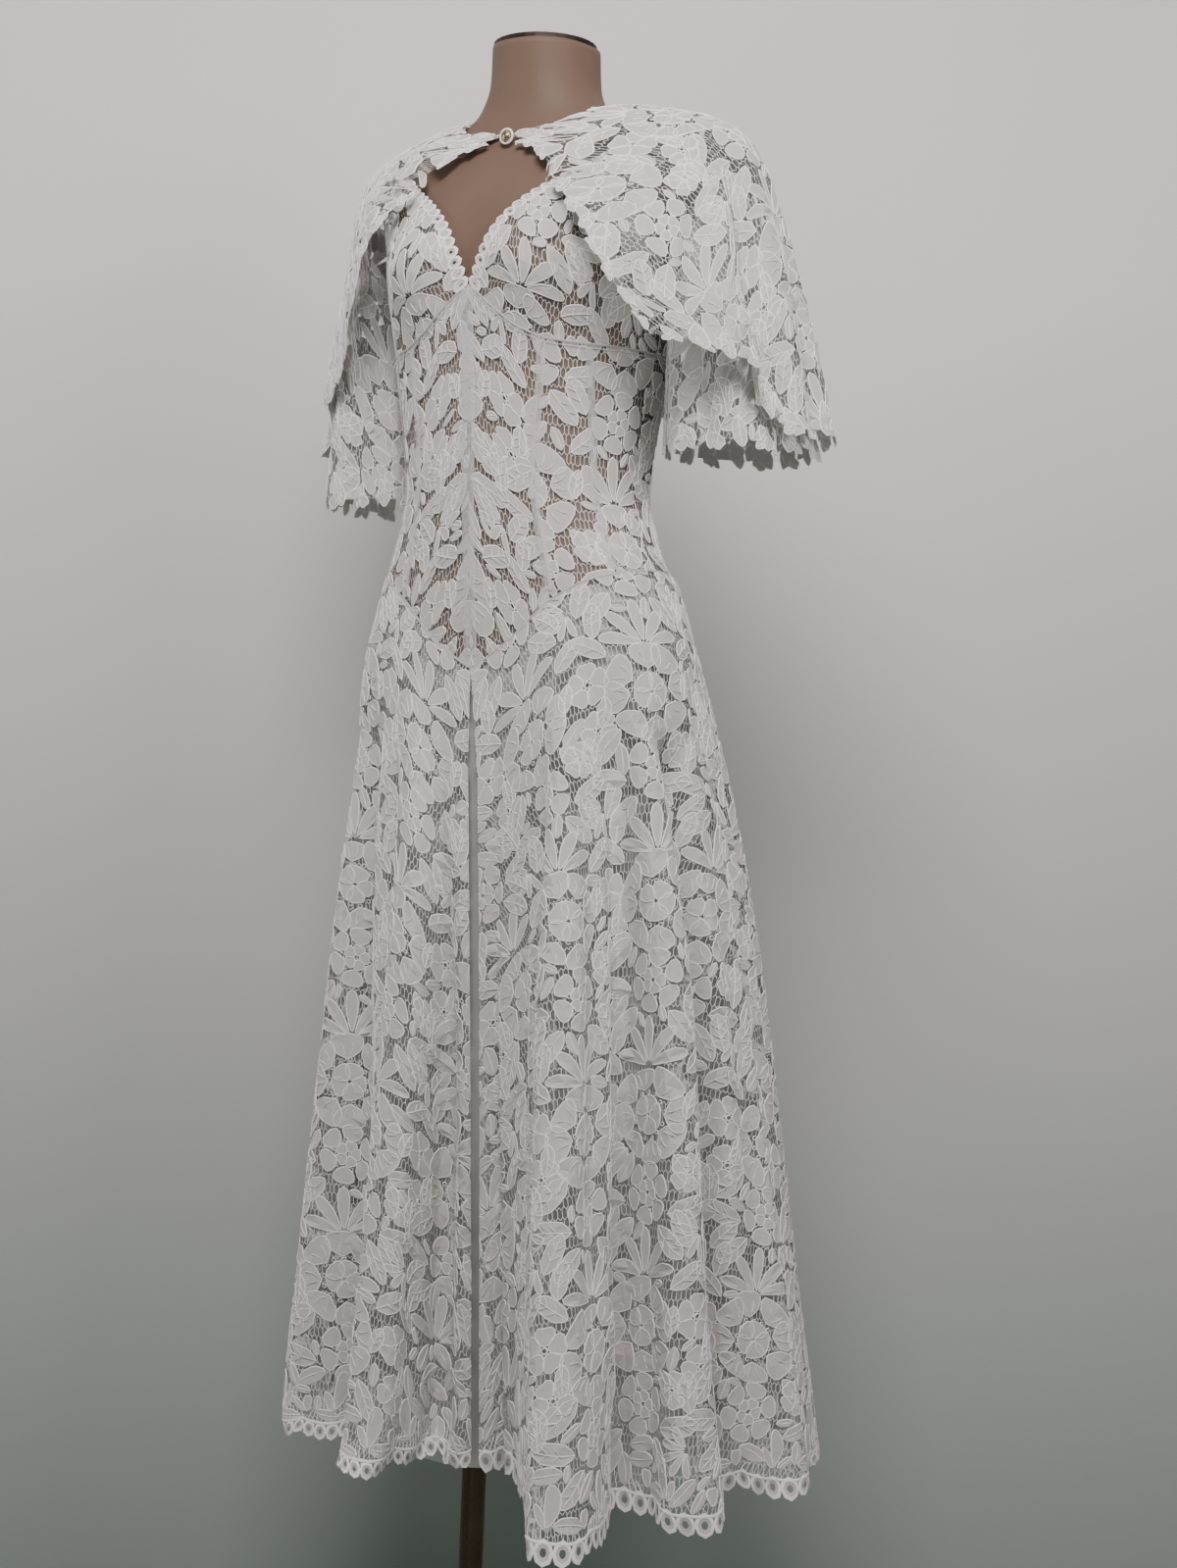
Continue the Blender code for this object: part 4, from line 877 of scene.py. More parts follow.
    def repeat(self, offset=(0.0, 0.0), clear=()):
        """The charted motifs, over the whole panel but clear of its own border."""
        shape = {"peony": self.peony, "rose": self.rose, "flower": self.flower, "leaf": self.leaf,
                 "plumes": self.plumes}
        low, high = self.panel.low - self.REPEAT_MARGIN, self.panel.high + self.REPEAT_MARGIN
        first = np.floor((low - offset) / (REPEAT_WIDE, REPEAT_HIGH)).astype(int)
        last = np.ceil((high - offset) / (REPEAT_WIDE, REPEAT_HIGH)).astype(int)
        for motif, across, up, size, angle in REPEAT:
            for i in range(first[0], last[0] + 1):
                for j in range(first[1], last[1] + 1):
                    at = np.array([across * 0.001 + i * REPEAT_WIDE, -up * 0.001 + j * REPEAT_HIGH]) + offset
                    u, v = self.panel.find(at)
                    reach = size * 0.0005 if motif in ("peony", "rose", "flower") else size * 0.0002
                    room = reach / self.panel.lengths.mean()
                    side_room = reach / self.panel.widths.max()
                    if not (-side_room < u < 1 + side_room and -room < v < 1 + room):
                        continue
                    if clear and v > 1 - clear[0] / self.panel.lengths.mean() - 0.6 * room:
                        continue
                    shape[motif](at, size * 0.001 * MOTIF_GROWTH, -angle)

    def fill(self, closeness=1.0):
        """Small leaves and buds in what the charted motifs leave open."""
        panel = self.panel
        for length, width, share in FILLER_SIZES:
            step = length * 0.42
            xs = np.arange(panel.low[0], panel.high[0], step)
            ys = np.arange(panel.low[1], panel.high[1], step)
            spots = np.stack(np.meshgrid(xs, ys, indexing="ij"), -1).reshape(-1, 2)
            spots = spots + self.chance.uniform(-0.5, 0.5, spots.shape) * step
            u, v = panel.find(spots)
            spots = spots[(u > -0.01) & (u < 1.01) & (v > -0.01) & (v < 1.01)]
            base = leaf_outline(length, width, 0.0, 0.0)
            base = (base - base.mean(0)) * FILLER_MARGIN
            probe = np.concatenate([base, base * 0.55, [[0, 0]]])
            for spot in self.chance.permutation(spots):
                if self.chance.random() > share * closeness or self.cover[self.cells(spot[None])].any():
                    continue
                begin = self.chance.uniform(0, 180)
                for quarter in range(4):
                    angle = begin + 45 * quarter
                    if self.cover[self.cells(turned(probe, angle, spot))].any():
                        continue
                    at = away_from(spot, angle, -length / 2)
                    if length > 0.015:
                        self.leaf(at, length, angle, small=True)
                    else:
                        self.patch(petal_outline(length, width, 0.05), angle, at, small=True)
                    break

    def net(self):
        """Bars of the ground as flat threads, left out under the motifs."""
        panel = self.panel
        columns = np.arange(panel.low[0] - NET_WIDE, panel.high[0] + NET_WIDE, NET_WIDE)
        rows = np.arange(panel.low[1] - NET_HIGH, panel.high[1] + NET_HIGH, NET_HIGH)
        x = columns[:, None] + (np.arange(len(rows)) % 2)[None, :] * NET_WIDE / 2
        low = np.stack([x, rows[None, :] + 0 * x], -1).reshape(-1, 2)
        low = low + self.chance.uniform(-0.12, 0.12, low.shape) * NET_WIDE
        high = low + np.array([0, NET_BAR])
        pairs = [(low, high), (high, low + np.array([NET_WIDE / 2, NET_HIGH])),
                 (high, low + np.array([-NET_WIDE / 2, NET_HIGH]))]
        start = np.concatenate([pair[0] for pair in pairs])
        end = np.concatenate([pair[1] for pair in pairs])
        kept = ~self.cover[self.cells((start + end) / 2)]
        start, end = start[kept], end[kept]
        u, v = panel.find((start + end) / 2)
        kept = (u > 0) & (u < 1) & (v > 0) & (v < 1)
        start, end = start[kept], end[kept]
        sideways = unit(end - start)[:, ::-1] * np.array([-1, 1]) * THREAD / 2
        corners = np.stack([start - sideways, start + sideways, end + sideways, end - sideways], 1)
        return corners

    def shares(self, edges, flat):
        """Shares of stacked places, each row measured from its own edge or on the chart."""
        u, v = np.empty(flat.shape[:-1]), np.empty(flat.shape[:-1])
        for edge in set(edges):
            mine = np.array([other == edge for other in edges])
            if edge is None:
                u[mine], v[mine] = self.panel.find(flat[mine])
            else:
                u[mine], v[mine] = self.panel.edge_shares(edge, flat[mine][..., 0], flat[mine][..., 1])
        return u, v

    def patch_rings(self, patches, profile):
        """Rings of all the patches, from the outline in to the centre, by rim share and cord share."""
        edges, outlines, centres, lifts, domes, angles = zip(*patches)
        outline, centre = np.array(outlines), np.array(centres)[:, None]
        along = np.roll(outline, -1, axis=1) - np.roll(outline, 1, axis=1)
        inward = unit(np.stack([-along[..., 1], along[..., 0]], -1))
        size = np.linalg.norm(outline - centre, axis=-1, keepdims=True)
        rim = np.minimum(RIM, 0.35 * size)
        places = np.concatenate([outline + inward * rim * share for share, _ in profile] + [centre], 1)
        lift = np.array(lifts)[:, None]
        dome = np.array(domes)[:, None]
        one = np.ones((1, PATCH_POINTS))
        heights = np.concatenate([(lift * min(1, 3 * rise) + rise * CORD_HIGH) * one for _, rise in profile]
                                 + [lift + dome], 1)
        angle = np.radians(angles)[:, None]
        local = places - centre
        ribs = np.stack([local[..., 0] * np.cos(angle) + local[..., 1] * np.sin(angle),
                         local[..., 1] * np.cos(angle) - local[..., 0] * np.sin(angle)], -1)
        first = np.arange(PATCH_POINTS)
        after = (first + 1) % PATCH_POINTS
        n = PATCH_POINTS
        last = len(profile) - 1
        rows = [np.stack([first + k * n, after + k * n, after + (k + 1) * n, first + (k + 1) * n], -1)
                for k in range(last)]
        middle = np.full(n, len(profile) * n)
        fan = np.stack([first + last * n, after + last * n, middle, middle], -1)
        return edges, places, heights, ribs, np.concatenate(rows + [fan]), [0] * (last * n) + [1] * n

    def ring_rings(self):
        edges, ats, outers, inners, lifts = zip(*self.rings)
        at, outer, inner = np.array(ats)[:, None], np.array(outers), np.array(inners)
        places = np.concatenate([at + outer, at + (outer + inner) / 2, at + inner], 1)
        n = outer.shape[1]
        lift = np.array(lifts)[:, None] * np.ones((1, n))
        heights = np.concatenate([lift * 0.4, lift + CORD_HIGH, lift * 0.4], 1)
        first = np.arange(n)
        after = (first + 1) % n
        rows = [np.stack([first + k * n, after + k * n, after + (k + 1) * n, first + (k + 1) * n], -1)
                for k in range(2)]
        faces = np.concatenate(rows)
        return edges, places, heights, places - at, faces, [0] * n + [1] * n

    def vein_rings(self):
        edges, lines, widths, lifts = zip(*self.veins)
        line = np.array(lines)
        along = unit(np.gradient(line, axis=1))
        sideways = np.stack([-along[..., 1], along[..., 0]], -1)
        width = np.array(widths)[:, None, None]
        places = np.concatenate([line - sideways * width / 2, line, line + sideways * width / 2], 1)
        lift = np.array(lifts)[:, None] * np.ones((1, line.shape[1]))
        heights = np.concatenate([lift - 0.0002, lift + 0.0006, lift - 0.0002], 1)
        n = line.shape[1]
        first = np.arange(n - 1)
        faces = np.concatenate([np.stack([first + k * n, first + (k + 1) * n, first + 1 + (k + 1) * n,
                                          first + 1 + k * n], -1) for k in range(2)])
        return edges, places, heights, 0 * places, faces, [0] * len(faces)

    def stretched(self, laid, drawn):
        """Faces that come out far longer than drawn, where a fold turns under them."""
        longest = np.ptp(drawn, axis=-2).max(-1)
        return np.ptp(laid, axis=-2).max(-1) > self.MOST_STRETCH * longest + self.STRETCH_ROOM

    def lay(self, materials, beyond=0.0):
        """Builds the gathered shapes on the panel; beyond is how far edge shapes may stand past it."""
        all_points, all_charts, all_ribs, all_faces, all_slots = [], [], [], [], []
        count = 0
        made = [self.patch_rings(patches, profile) for patches, profile
                in ((self.patches, PETAL_PROFILE), (self.buds, BUD_PROFILE)) if patches]
        made.append(self.vein_rings())
        if self.rings:
            made.append(self.ring_rings())
        for edges, places, heights, ribs, faces, slots in made:
            u, v = self.shares(edges, places)
            on_edge = np.array([edge is not None for edge in edges])[:, None]
            room = np.where(on_edge, beyond, 0.0)
            far = np.stack([u < -room, u > 1 + room, v < -room, v > 1 + room], -1)
            u, v = np.clip(u, -room, 1 + room), np.clip(v, -room, 1 + room)
            points = self.panel.place(u, v, heights + self.LIFT)
            each = places.shape[1]
            whole = faces[None] + (np.arange(len(edges)) * each)[:, None, None]
            lost = far[:, faces].all(2).any(-1)
            lost |= self.stretched(points[:, faces], places[:, faces])
            all_faces.append(whole[~lost] + count)
            all_slots.append(np.broadcast_to(np.array(slots), lost.shape)[~lost])
            all_points.append(points.reshape(-1, 3))
            all_charts.append(read_grid(self.panel.chart, u, v).reshape(-1, 2))
            all_ribs.append(ribs.reshape(-1, 2))
            count += len(edges) * each
        points, faces = np.concatenate(all_points), np.concatenate(all_faces)
        faces = [face[:3] if face[2] == face[3] else face for face in faces.tolist()]
        chart = np.concatenate(all_charts) - self.panel.low
        slots = np.concatenate(all_slots)
        thing = make_object(f"{self.panel.name}_flowers", points, faces, materials[:2], slots, chart,
                            slots == 0)
        add_map(thing.data, "Ribs", np.concatenate(all_ribs) * 1000)
        thing.data.uv_layers.active = thing.data.uv_layers["OFBake"]
        bars = self.net()
        u, v = self.panel.find(bars)
        u, v = np.clip(u, 0, 1), np.clip(v, 0, 1)
        net_points = self.panel.place(u, v, np.full(u.shape, self.LIFT))
        kept = ~self.stretched(net_points, bars)
        u, v, net_points = u[kept], v[kept], net_points[kept].reshape(-1, 3)
        net_faces = np.arange(len(net_points)).reshape(-1, 4)
        net = make_object(f"{self.panel.name}_net", net_points, net_faces, materials[2:],
                          chart=read_grid(self.panel.chart, u, v).reshape(-1, 2) - self.panel.low)
        return [thing, net]


# Finishes

class Wire:
    """A value that comes out of a node, for sums written as Python expressions."""

    def __init__(self, tree, socket):
        self.tree = tree
        self.socket = socket

    def sum(self, operation, first, second):
        node = self.tree.nodes.new("ShaderNodeMath")
        node.operation = operation
        for slot, value in zip(node.inputs, (first, second)):
            if isinstance(value, Wire):
                self.tree.links.new(value.socket, slot)
            else:
                slot.default_value = value
        return Wire(self.tree, node.outputs[0])

    def __add__(self, other):
        return self.sum("ADD", self, other)

    def __radd__(self, other):
        return self.sum("ADD", other, self)

    def __sub__(self, other):
        return self.sum("SUBTRACT", self, other)

    def __rsub__(self, other):
        return self.sum("SUBTRACT", other, self)

    def __mul__(self, other):
        return self.sum("MULTIPLY", self, other)

    def __rmul__(self, other):
        return self.sum("MULTIPLY", other, self)

    def __truediv__(self, other):
        return self.sum("DIVIDE", self, other)

    def __pow__(self, other):
        return self.sum("POWER", self, other)


class Finish:
    """A material and the nodes that it is made of."""

    def __init__(self, name):
        self.material = bpy.data.materials.new(name)
        self.material.use_nodes = True
        self.tree = self.material.node_tree
        self.tree.nodes.clear()

    def node(self, kind, settings=None, inputs=None):
        node = self.tree.nodes.new(kind)
        for name, value in (settings or {}).items():
            setattr(node, name, value)
        for name, value in (inputs or {}).items():
            if isinstance(value, Wire):
                self.tree.links.new(value.socket, node.inputs[name])
            else:
                node.inputs[name].default_value = value
        return node

    def wire(self, node, output=0):
        return Wire(self.tree, node.outputs[output])

    def map(self, name):
        return self.wire(self.node("ShaderNodeUVMap", {"uv_map": name}))

    def place(self):
        return self.wire(self.node("ShaderNodeTexCoord"), "Object")

    def noise(self, at, scale, detail=3.0, roughness=0.5):
        return self.wire(self.node("ShaderNodeTexNoise", None, {
            "Vector": at, "Scale": scale, "Detail": detail, "Roughness": roughness}))

    def wave(self, at, scale, direction="Y", distortion=0.0):
        return self.wire(self.node("ShaderNodeTexWave", {"bands_direction": direction}, {
            "Vector": at, "Scale": scale, "Distortion": distortion}))

    def mix(self, share, first, second):
        node = self.node("ShaderNodeMix", {"data_type": "RGBA"}, {
            0: share, 6: (*first, 1) if isinstance(first, tuple) else first,
            7: (*second, 1) if isinstance(second, tuple) else second})
        return self.wire(node, 2)

    def bump(self, height, strength, distance):
        return self.wire(self.node("ShaderNodeBump", None, {
            "Height": height, "Strength": strength, "Distance": distance}))

    def surface(self, **inputs):
        names = {key: key.replace("_", " ").title().replace("Ior", "IOR") for key in inputs}
        shader = self.node("ShaderNodeBsdfPrincipled", None, {names[key]: inputs[key] for key in inputs})
        self.node("ShaderNodeOutputMaterial", None, {"Surface": self.wire(shader)})
        return self.material


def lace_cord_finish():
    """Raised outline cords, the brightest part of the lace."""
    finish = Finish("Lace outline cord")
    fray = finish.noise(finish.place(), 900.0, 2.0)
    colour = finish.mix(fray, (0.90, 0.865, 0.855), (0.97, 0.94, 0.93))
    return finish.surface(base_color=colour, roughness=0.75,
                          normal=finish.bump(fray, 0.5, 0.0003), sheen_weight=0.25)


def lace_fill_finish():
    """Close ribbed filling of petals and leaves."""
    finish = Finish("Lace petal filling")
    ribs = finish.wave(finish.map("Ribs"), 0.30, "Y", 1.2)
    cloudy = finish.noise(finish.place(), 60.0, 2.0)
    shade = ribs * 0.55 + cloudy * 0.45
    colour = finish.mix(shade, (0.50, 0.465, 0.45), (0.66, 0.62, 0.605))
    return finish.surface(base_color=colour, roughness=0.82,
                          normal=finish.bump(ribs, 0.55, 0.0005), sheen_weight=0.2)


def lace_net_finish():
    finish = Finish("Lace net thread")
    fray = finish.noise(finish.place(), 700.0, 2.0)
    colour = finish.mix(fray, (0.76, 0.73, 0.72), (0.86, 0.83, 0.82))
    return finish.surface(base_color=colour, roughness=0.8)


def ground_finish():
    """Finest threads between the bars, nearly clear."""
    finish = Finish("Lace ground")
    haze = finish.noise(finish.place(), 260.0, 2.0)
    colour = finish.mix(haze, (0.70, 0.69, 0.69), (0.82, 0.82, 0.81))
    return finish.surface(base_color=colour, roughness=0.85,
                          alpha=haze * 0.10 + 0.01)


def lining_finish():
    """Plain sheer lining with an even fine weave; its mid grey is painted shade on a white lining."""
    finish = Finish("Sheer lining")
    at = finish.place()
    weave = finish.noise(at, 1400.0, 1.0)
    cloudy = finish.noise(at, 9.0, 3.0)
    # Painted shade: the white lining is coloured the grey it shows in the shadow behind the lace.
    colour = finish.mix(cloudy, (0.50, 0.49, 0.485), (0.60, 0.595, 0.59))
    return finish.surface(base_color=colour, roughness=0.6,
                          alpha=cloudy * 0.15 + 0.60, normal=finish.bump(weave, 0.25, 0.0002),
                          sheen_weight=0.3)


def tape_finish():
    """Sheer woven tape over the bones; the lace shows through it."""
    finish = Finish("Channel tape")
    weave = finish.noise(finish.place(), 1100.0, 2.0)
    colour = finish.mix(weave, (0.70, 0.69, 0.685), (0.80, 0.79, 0.785))
    return finish.surface(base_color=colour, roughness=0.8,
                          alpha=weave * 0.5 + 0.15, normal=finish.bump(weave, 0.4, 0.0003), sheen_weight=0.2)


def skin_finish():
    """Brushed taupe cover of the dress form, lightly mottled."""
    finish = Finish("Form cover")
    at = finish.place()
    mottle = finish.noise(at, 14.0, 5.0, 0.6)
    grain = finish.noise(at, 800.0, 2.0)
    colour = finish.mix(mottle, (0.122, 0.077, 0.056), (0.172, 0.109, 0.082))
    return finish.surface(base_color=colour, roughness=mottle * 0.15 + 0.55, specular_ior_level=0.3,
                          normal=finish.bump(grain, 0.25, 0.0003))


def metal_finish(name, dark, light, roughness, scale):
    finish = Finish(name)
    worn = finish.noise(finish.place(), scale, 4.0)
    return finish.surface(base_color=finish.mix(worn, dark, light), metallic=1.0,
                          roughness=worn * 0.12 + roughness, normal=finish.bump(worn, 0.15, 0.0003))


def wall_finish():
    """Painted wall, seen only from its front side; its colour grows darker and greener towards the floor as
    painted shade, where the light falls off.
    """
    finish = Finish("Painted wall")
    at = finish.place()
    cloudy = finish.noise(at, 1.3, 3.0)
    grain = finish.noise(at, 240.0, 2.0)
    height = finish.wire(finish.node("ShaderNodeSeparateXYZ", None, {0: at}), "Z")
    # Painted shade: the wall colour is mixed from a dark green-grey at the floor to the pale paint higher up,
    # standing in for the light falling off.
    rise = finish.wire(finish.node("ShaderNodeMapRange", None, {
        "Value": height, "From Min": -1.6, "From Max": 0.0}))
    upper = finish.mix(cloudy, (0.70, 0.655, 0.645), (0.76, 0.715, 0.705))
    paint_with_painted_shade = finish.node("ShaderNodeBsdfPrincipled", None, {
        "Base Color": finish.mix(rise, (0.24, 0.285, 0.255), upper), "Roughness": 0.85,
        "Normal": finish.bump(grain, 0.2, 0.0006)})
    clear = finish.node("ShaderNodeBsdfTransparent")
    behind = finish.wire(finish.node("ShaderNodeNewGeometry"), "Backfacing")
    both = finish.node("ShaderNodeMixShader", None, {
        0: behind, 1: finish.wire(paint_with_painted_shade), 2: finish.wire(clear)})
    finish.node("ShaderNodeOutputMaterial", None, {"Surface": finish.wire(both)})
    return finish.material


def floor_finish():
    finish = Finish("Pale floor")
    cloudy = finish.noise(finish.place(), 2.0, 3.0)
    colour = finish.mix(cloudy, (0.30, 0.32, 0.30), (0.36, 0.38, 0.36))
    return finish.surface(base_color=colour, roughness=0.7)


# Camera, stage and light

def camera_directions():
    turn = math.radians(CAMERA_AZIMUTH + CAMERA_YAW)
    roll = math.radians(CAMERA_ROLL)
    back = Vector((math.sin(turn), -math.cos(turn), 0))
    level = Vector((math.cos(turn), math.sin(turn), 0))
    upright = Vector((0, 0, 1))
    right = level * math.cos(roll) + upright * math.sin(roll)
    up = upright * math.cos(roll) - level * math.sin(roll)
    return right, up, back


def make_camera():
    right, up, back = camera_directions()
    azimuth = math.radians(CAMERA_AZIMUTH)
    at = Vector((math.sin(azimuth) * CAMERA_DISTANCE, -math.cos(azimuth) * CAMERA_DISTANCE, CAMERA_HEIGHT))
    data = bpy.data.cameras.new("Camera")
    data.sensor_fit = "VERTICAL"
    data.sensor_height = SENSOR_MM
    data.lens = SENSOR_MM * FOCAL_PIXELS / PHOTO_HIGH
    camera = bpy.data.objects.new("Camera", data)
    camera.matrix_world = Matrix.Translation(at) @ Matrix((right, up, back)).transposed().to_4x4()
    bpy.context.scene.collection.objects.link(camera)
    bpy.context.scene.camera = camera


def make_plane(name, centre, across, up, material):
    points = np.array([across * i + up * j for i, j in ((-1, -1), (1, -1), (1, 1), (-1, 1))])
    mesh = bpy.data.meshes.new(name)
    mesh.from_pydata(points.tolist(), [], [[0, 1, 2, 3]])
    mesh.materials.append(material)
    thing = bpy.data.objects.new(name, mesh)
    thing.location = centre
    bpy.context.scene.collection.objects.link(thing)


def make_stage():
    _, _, back = camera_directions()
    level = back.cross(Vector((0, 0, -1)))
    make_plane("floor", Vector((0, 0, 0)), Vector((4, 0, 0)), Vector((0, 4, 0)), floor_finish())
    make_plane("wall", Vector((0, 0, 1.5)) - back * WALL_BEHIND, level * 3, Vector((0, 0, 1.5)),
               wall_finish())


def add_light(name, at, aim, width, height, power, colour, spread):
    data = bpy.data.lights.new(name, "AREA")
    data.shape = "RECTANGLE"
    data.size = width
    data.size_y = height
    data.energy = power
    data.color = colour
    data.spread = math.radians(spread)
    light = bpy.data.objects.new(name, data)
    light.location = at
    light.rotation_euler = (Vector(aim) - Vector(at)).to_track_quat("-Z", "Y").to_euler()
    bpy.context.scene.collection.objects.link(light)


def make_lights():
    for light in LIGHTS:
        add_light(*light)
    world = bpy.data.worlds.new("Room")
    bpy.context.scene.world = world
    world.use_nodes = True
    world.node_tree.nodes["Background"].inputs["Color"].default_value = ROOM_COLOUR
    world.node_tree.nodes["Background"].inputs["Strength"].default_value = ROOM_STRENGTH


# Pieces

def declare(panel, ground, riders=()):
    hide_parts(panel.name)


def petal_edge(lace, edge, first=0.0):
    """Row of leaves and petals that the edge is cut along."""
    length = lace.panel.edge_length(edge)
    count = max(2, int(round(length * (1 - first) / PETAL_SPACING)))
    for k in range(count):
        along = length * (first + (1 - first) * (k + 0.5) / count)
        size = PETAL_SPACING * (1.55 + 0.45 * ((k * 7) % 5 - 2) / 2)
        lean = -90 + 22 * ((k * 3) % 5 - 2)
        at = away_from((along, -PETAL_REACH), lean, -size)
        if k % 3 == 2:
            lace.patch(petal_outline(size, size * 0.62), lean, at, lift=0.0005, edge=edge)
        else:
            lace.leaf(at, size, lean, edge=edge)


def scallop_edge(lace, edge):
    """Row of small scallops with an eyelet in each."""
    length = lace.panel.edge_length(edge)
    count = max(2, int(round(length / SCALLOP_SPACING)))
    for k in range(count):
        along = length * ((k + 0.5) / count)
        lace.ring((along, SCALLOP_IN), SCALLOP_SPACING * 0.56, SCALLOP_SPACING * 0.14, lift=0.0002, edge=edge)


def hem_border(lace):
    """Arched hem: scallops with eyelets, a paisley leaf in each arch and a fan of bars round it."""
    wide = lace.panel.edge_length("hem")
    arch = wide / ARCHES
    for k in range(ARCHES):
        middle = arch * (k + 0.5)
        for share in np.linspace(-0.4, 0.4, 5):
            along = middle + share * arch
            lace.ring((along, 0.0052), arch * 0.108, arch * 0.036, lift=0.0002, edge="hem")
            lace.vein((along - arch * 0.1, 0.0115), (along + arch * 0.1, 0.0115), 0.0, 0.0022, edge="hem")
        lean = 62 if k % 2 else 118
        lace.patch(drop_outline(0.034, 0.016, 0.20 if k % 2 else -0.20), lean, (middle, 0.021), lift=0.0006,
                   edge="hem")
        lace.patch(leaf_outline(0.020, 0.009), 180 - lean, (middle, 0.020), lift=0.0005, edge="hem")
        for share in np.linspace(-0.44, 0.44, 12):
            end = (middle + share * arch * 0.80, 0.030 - 0.010 * abs(share) * 2)
            lace.vein((middle + share * arch, 0.0128), end, 0.03, 0.0006, 0.0002, edge="hem")
        lace.patch(petal_outline(0.016, 0.012), 90, (middle - arch * 0.5, 0.018), lift=0.0004, edge="hem")


def make_skirt(lace_set, ground):
    for number, (name, *angles) in enumerate(QUARTERS):
        panel = Panel(name, quarter_points(name, *angles), (0, 0.08, 0.7))
        lace = Lace(panel, 11 + number)
        hem_border(lace)
        lace.repeat((0.0, 0.04), clear=(0.050,))
        lace.fill(0.70)
        shell = ground_of(panel, ground)
        riders = lace.lay(lace_set, beyond=0.02)
        declare(panel, shell,
                riders)


def make_bodice(lace_set, ground, tape):
    middle = (0, FORM_MID, 1.190)
    for side, label in ((1, "left"), (-1, "right")):
        for number, (name, first, last) in enumerate(PANELS):
            panel = Panel(f"{name}_{label}", bodice_points(side, first, last), middle)
            lace = Lace(panel, 31 + 2 * number + (side > 0))
            lace.repeat((0.03 * number, 0.02 + 0.05 * number))
            lace.fill(0.45)
            shell = ground_of(panel, ground, step=3)
            declare(panel, shell, lace.lay(lace_set))
        for seam, before, after in (("mid", "centre", "mid"), ("side", "mid", "side")):
            make_channel(f"channel_{seam}_{label}", channel_points(side, seam), tape)
    make_channel("channel_centre", channel_points(1, "centre"), tape)


def make_channel(name, points, tape):
    panel = Panel(name, points, (0, FORM_MID, 1.190))
    columns, rows = points.shape[0] - 1, points.shape[1] - 1
    shell = make_object(f"{name}_tape", points.reshape(-1, 3), grid_faces(columns, rows), [tape],
                        chart=panel.chart.reshape(-1, 2) - panel.low)
    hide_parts(name)


def make_upper_bodice(lace_set, ground):
    for side, label in ((1, "left"), (-1, "right")):
        front = Panel(f"cup_{label}", patch_points(side, NECKLINE, ARMHOLE_FRONT, CUP_OFF),
                      (0, FORM_MID, BUST_HEIGHT))
        lace = Lace(front, 51 + (side > 0))
        scallop_edge(lace, "first")
        lace.repeat((0.02, 0.03))
        lace.fill(0.45)
        declare(front, ground_of(front, ground), lace.lay(lace_set, beyond=0.1))
        back = Panel(f"bodice_upper_back_{label}",
                     patch_points(side, ARMHOLE_BACK, BACK_NECK, UPPER_BACK_OFF), (0, FORM_MID, BUST_HEIGHT))
        lace = Lace(back, 55 + (side > 0))
        lace.repeat((0.04, 0.05))
        lace.fill()
        declare(back, ground_of(back, ground), lace.lay(lace_set))


def make_cape(lace_set, ground):
    for side, label, rows in ((1, "left", CAPE_LEFT), (-1, "right", CAPE_RIGHT)):
        panel = Panel(f"cape_{label}", cape_points(side, rows), (side * 0.10, 0.04, 1.30))
        lace = Lace(panel, 61 + (side > 0))
        petal_edge(lace, "hem")
        petal_edge(lace, "first", first=0.05)
        lace.repeat((0.01, 0.02))
        lace.fill(0.35)
        declare(panel, ground_of(panel, ground), lace.lay(lace_set, beyond=0.05))


def make_neck_tip(thread):
    """Small pointed end of lace that stands up against the wearer's right of the neck."""
    outline = leaf_outline(NECK_TIP_LONG, NECK_TIP_WIDE, NECK_TIP_BEND)
    around = NECK_TIP_ANGLE + np.degrees(outline[:, 1] / NECK_RADIUS)
    height = NECK_TIP_FROM + outline[:, 0]
    off = CAPE_NECK_OFF + NECK_TIP_CLEAR + NECK_TIP_LEAN * outline[:, 0]
    tip = make_object("neck_tip", on_form(around, height, off), [list(range(len(outline)))], [thread])


def make_sleeves(lace_set, ground):
    for side, label in ((1, "left"), (-1, "right")):
        for number, (half, first, last) in enumerate((("front", -180, 0), ("back", 0, 180))):
            panel = Panel(f"sleeve_{half}_{label}", sleeve_points(side, first, last),
                          (side * SLEEVE_HEM_MIDDLE[0], SLEEVE_HEM_MIDDLE[1], 1.3))
            lace = Lace(panel, 71 + 2 * number + (side > 0))
            petal_edge(lace, "hem")
            lace.repeat((0.03, 0.06))
            lace.fill(0.6)
            declare(panel, ground_of(panel, ground),
                    lace.lay(lace_set, beyond=0.05))


def make_lining(sheer):
    for name, first, last in (("skirt_lining_front", -180, 0), ("skirt_lining_back", 0, 180)):
        panel = Panel(name, lining_points(first, last), (0, 0.08, 0.7))
        shell = ground_of(panel, sheer, 0.0005, 1)
        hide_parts(name)


def make_seams(tape):
    """Piping on the waist and bust seams, and a fine cord of stitching just below the bust seam."""
    around = np.linspace(0, 360, 241)[:-1]
    waist = on_form(around, seam_height(WAIST_SEAM, around), TAPE_OFF)
    tube("waist_piping", waist, 0.0012, tape, closed=True)
    for name, rise, radius in (("bust_piping", 0.0, 0.0011), ("bust_stitching", -0.0035, 0.0006)):
        line = on_form(around, seam_height(BUST_SEAM, around) + rise, TAPE_OFF - 0.0006)
        tube(name, line, radius, tape, closed=True)


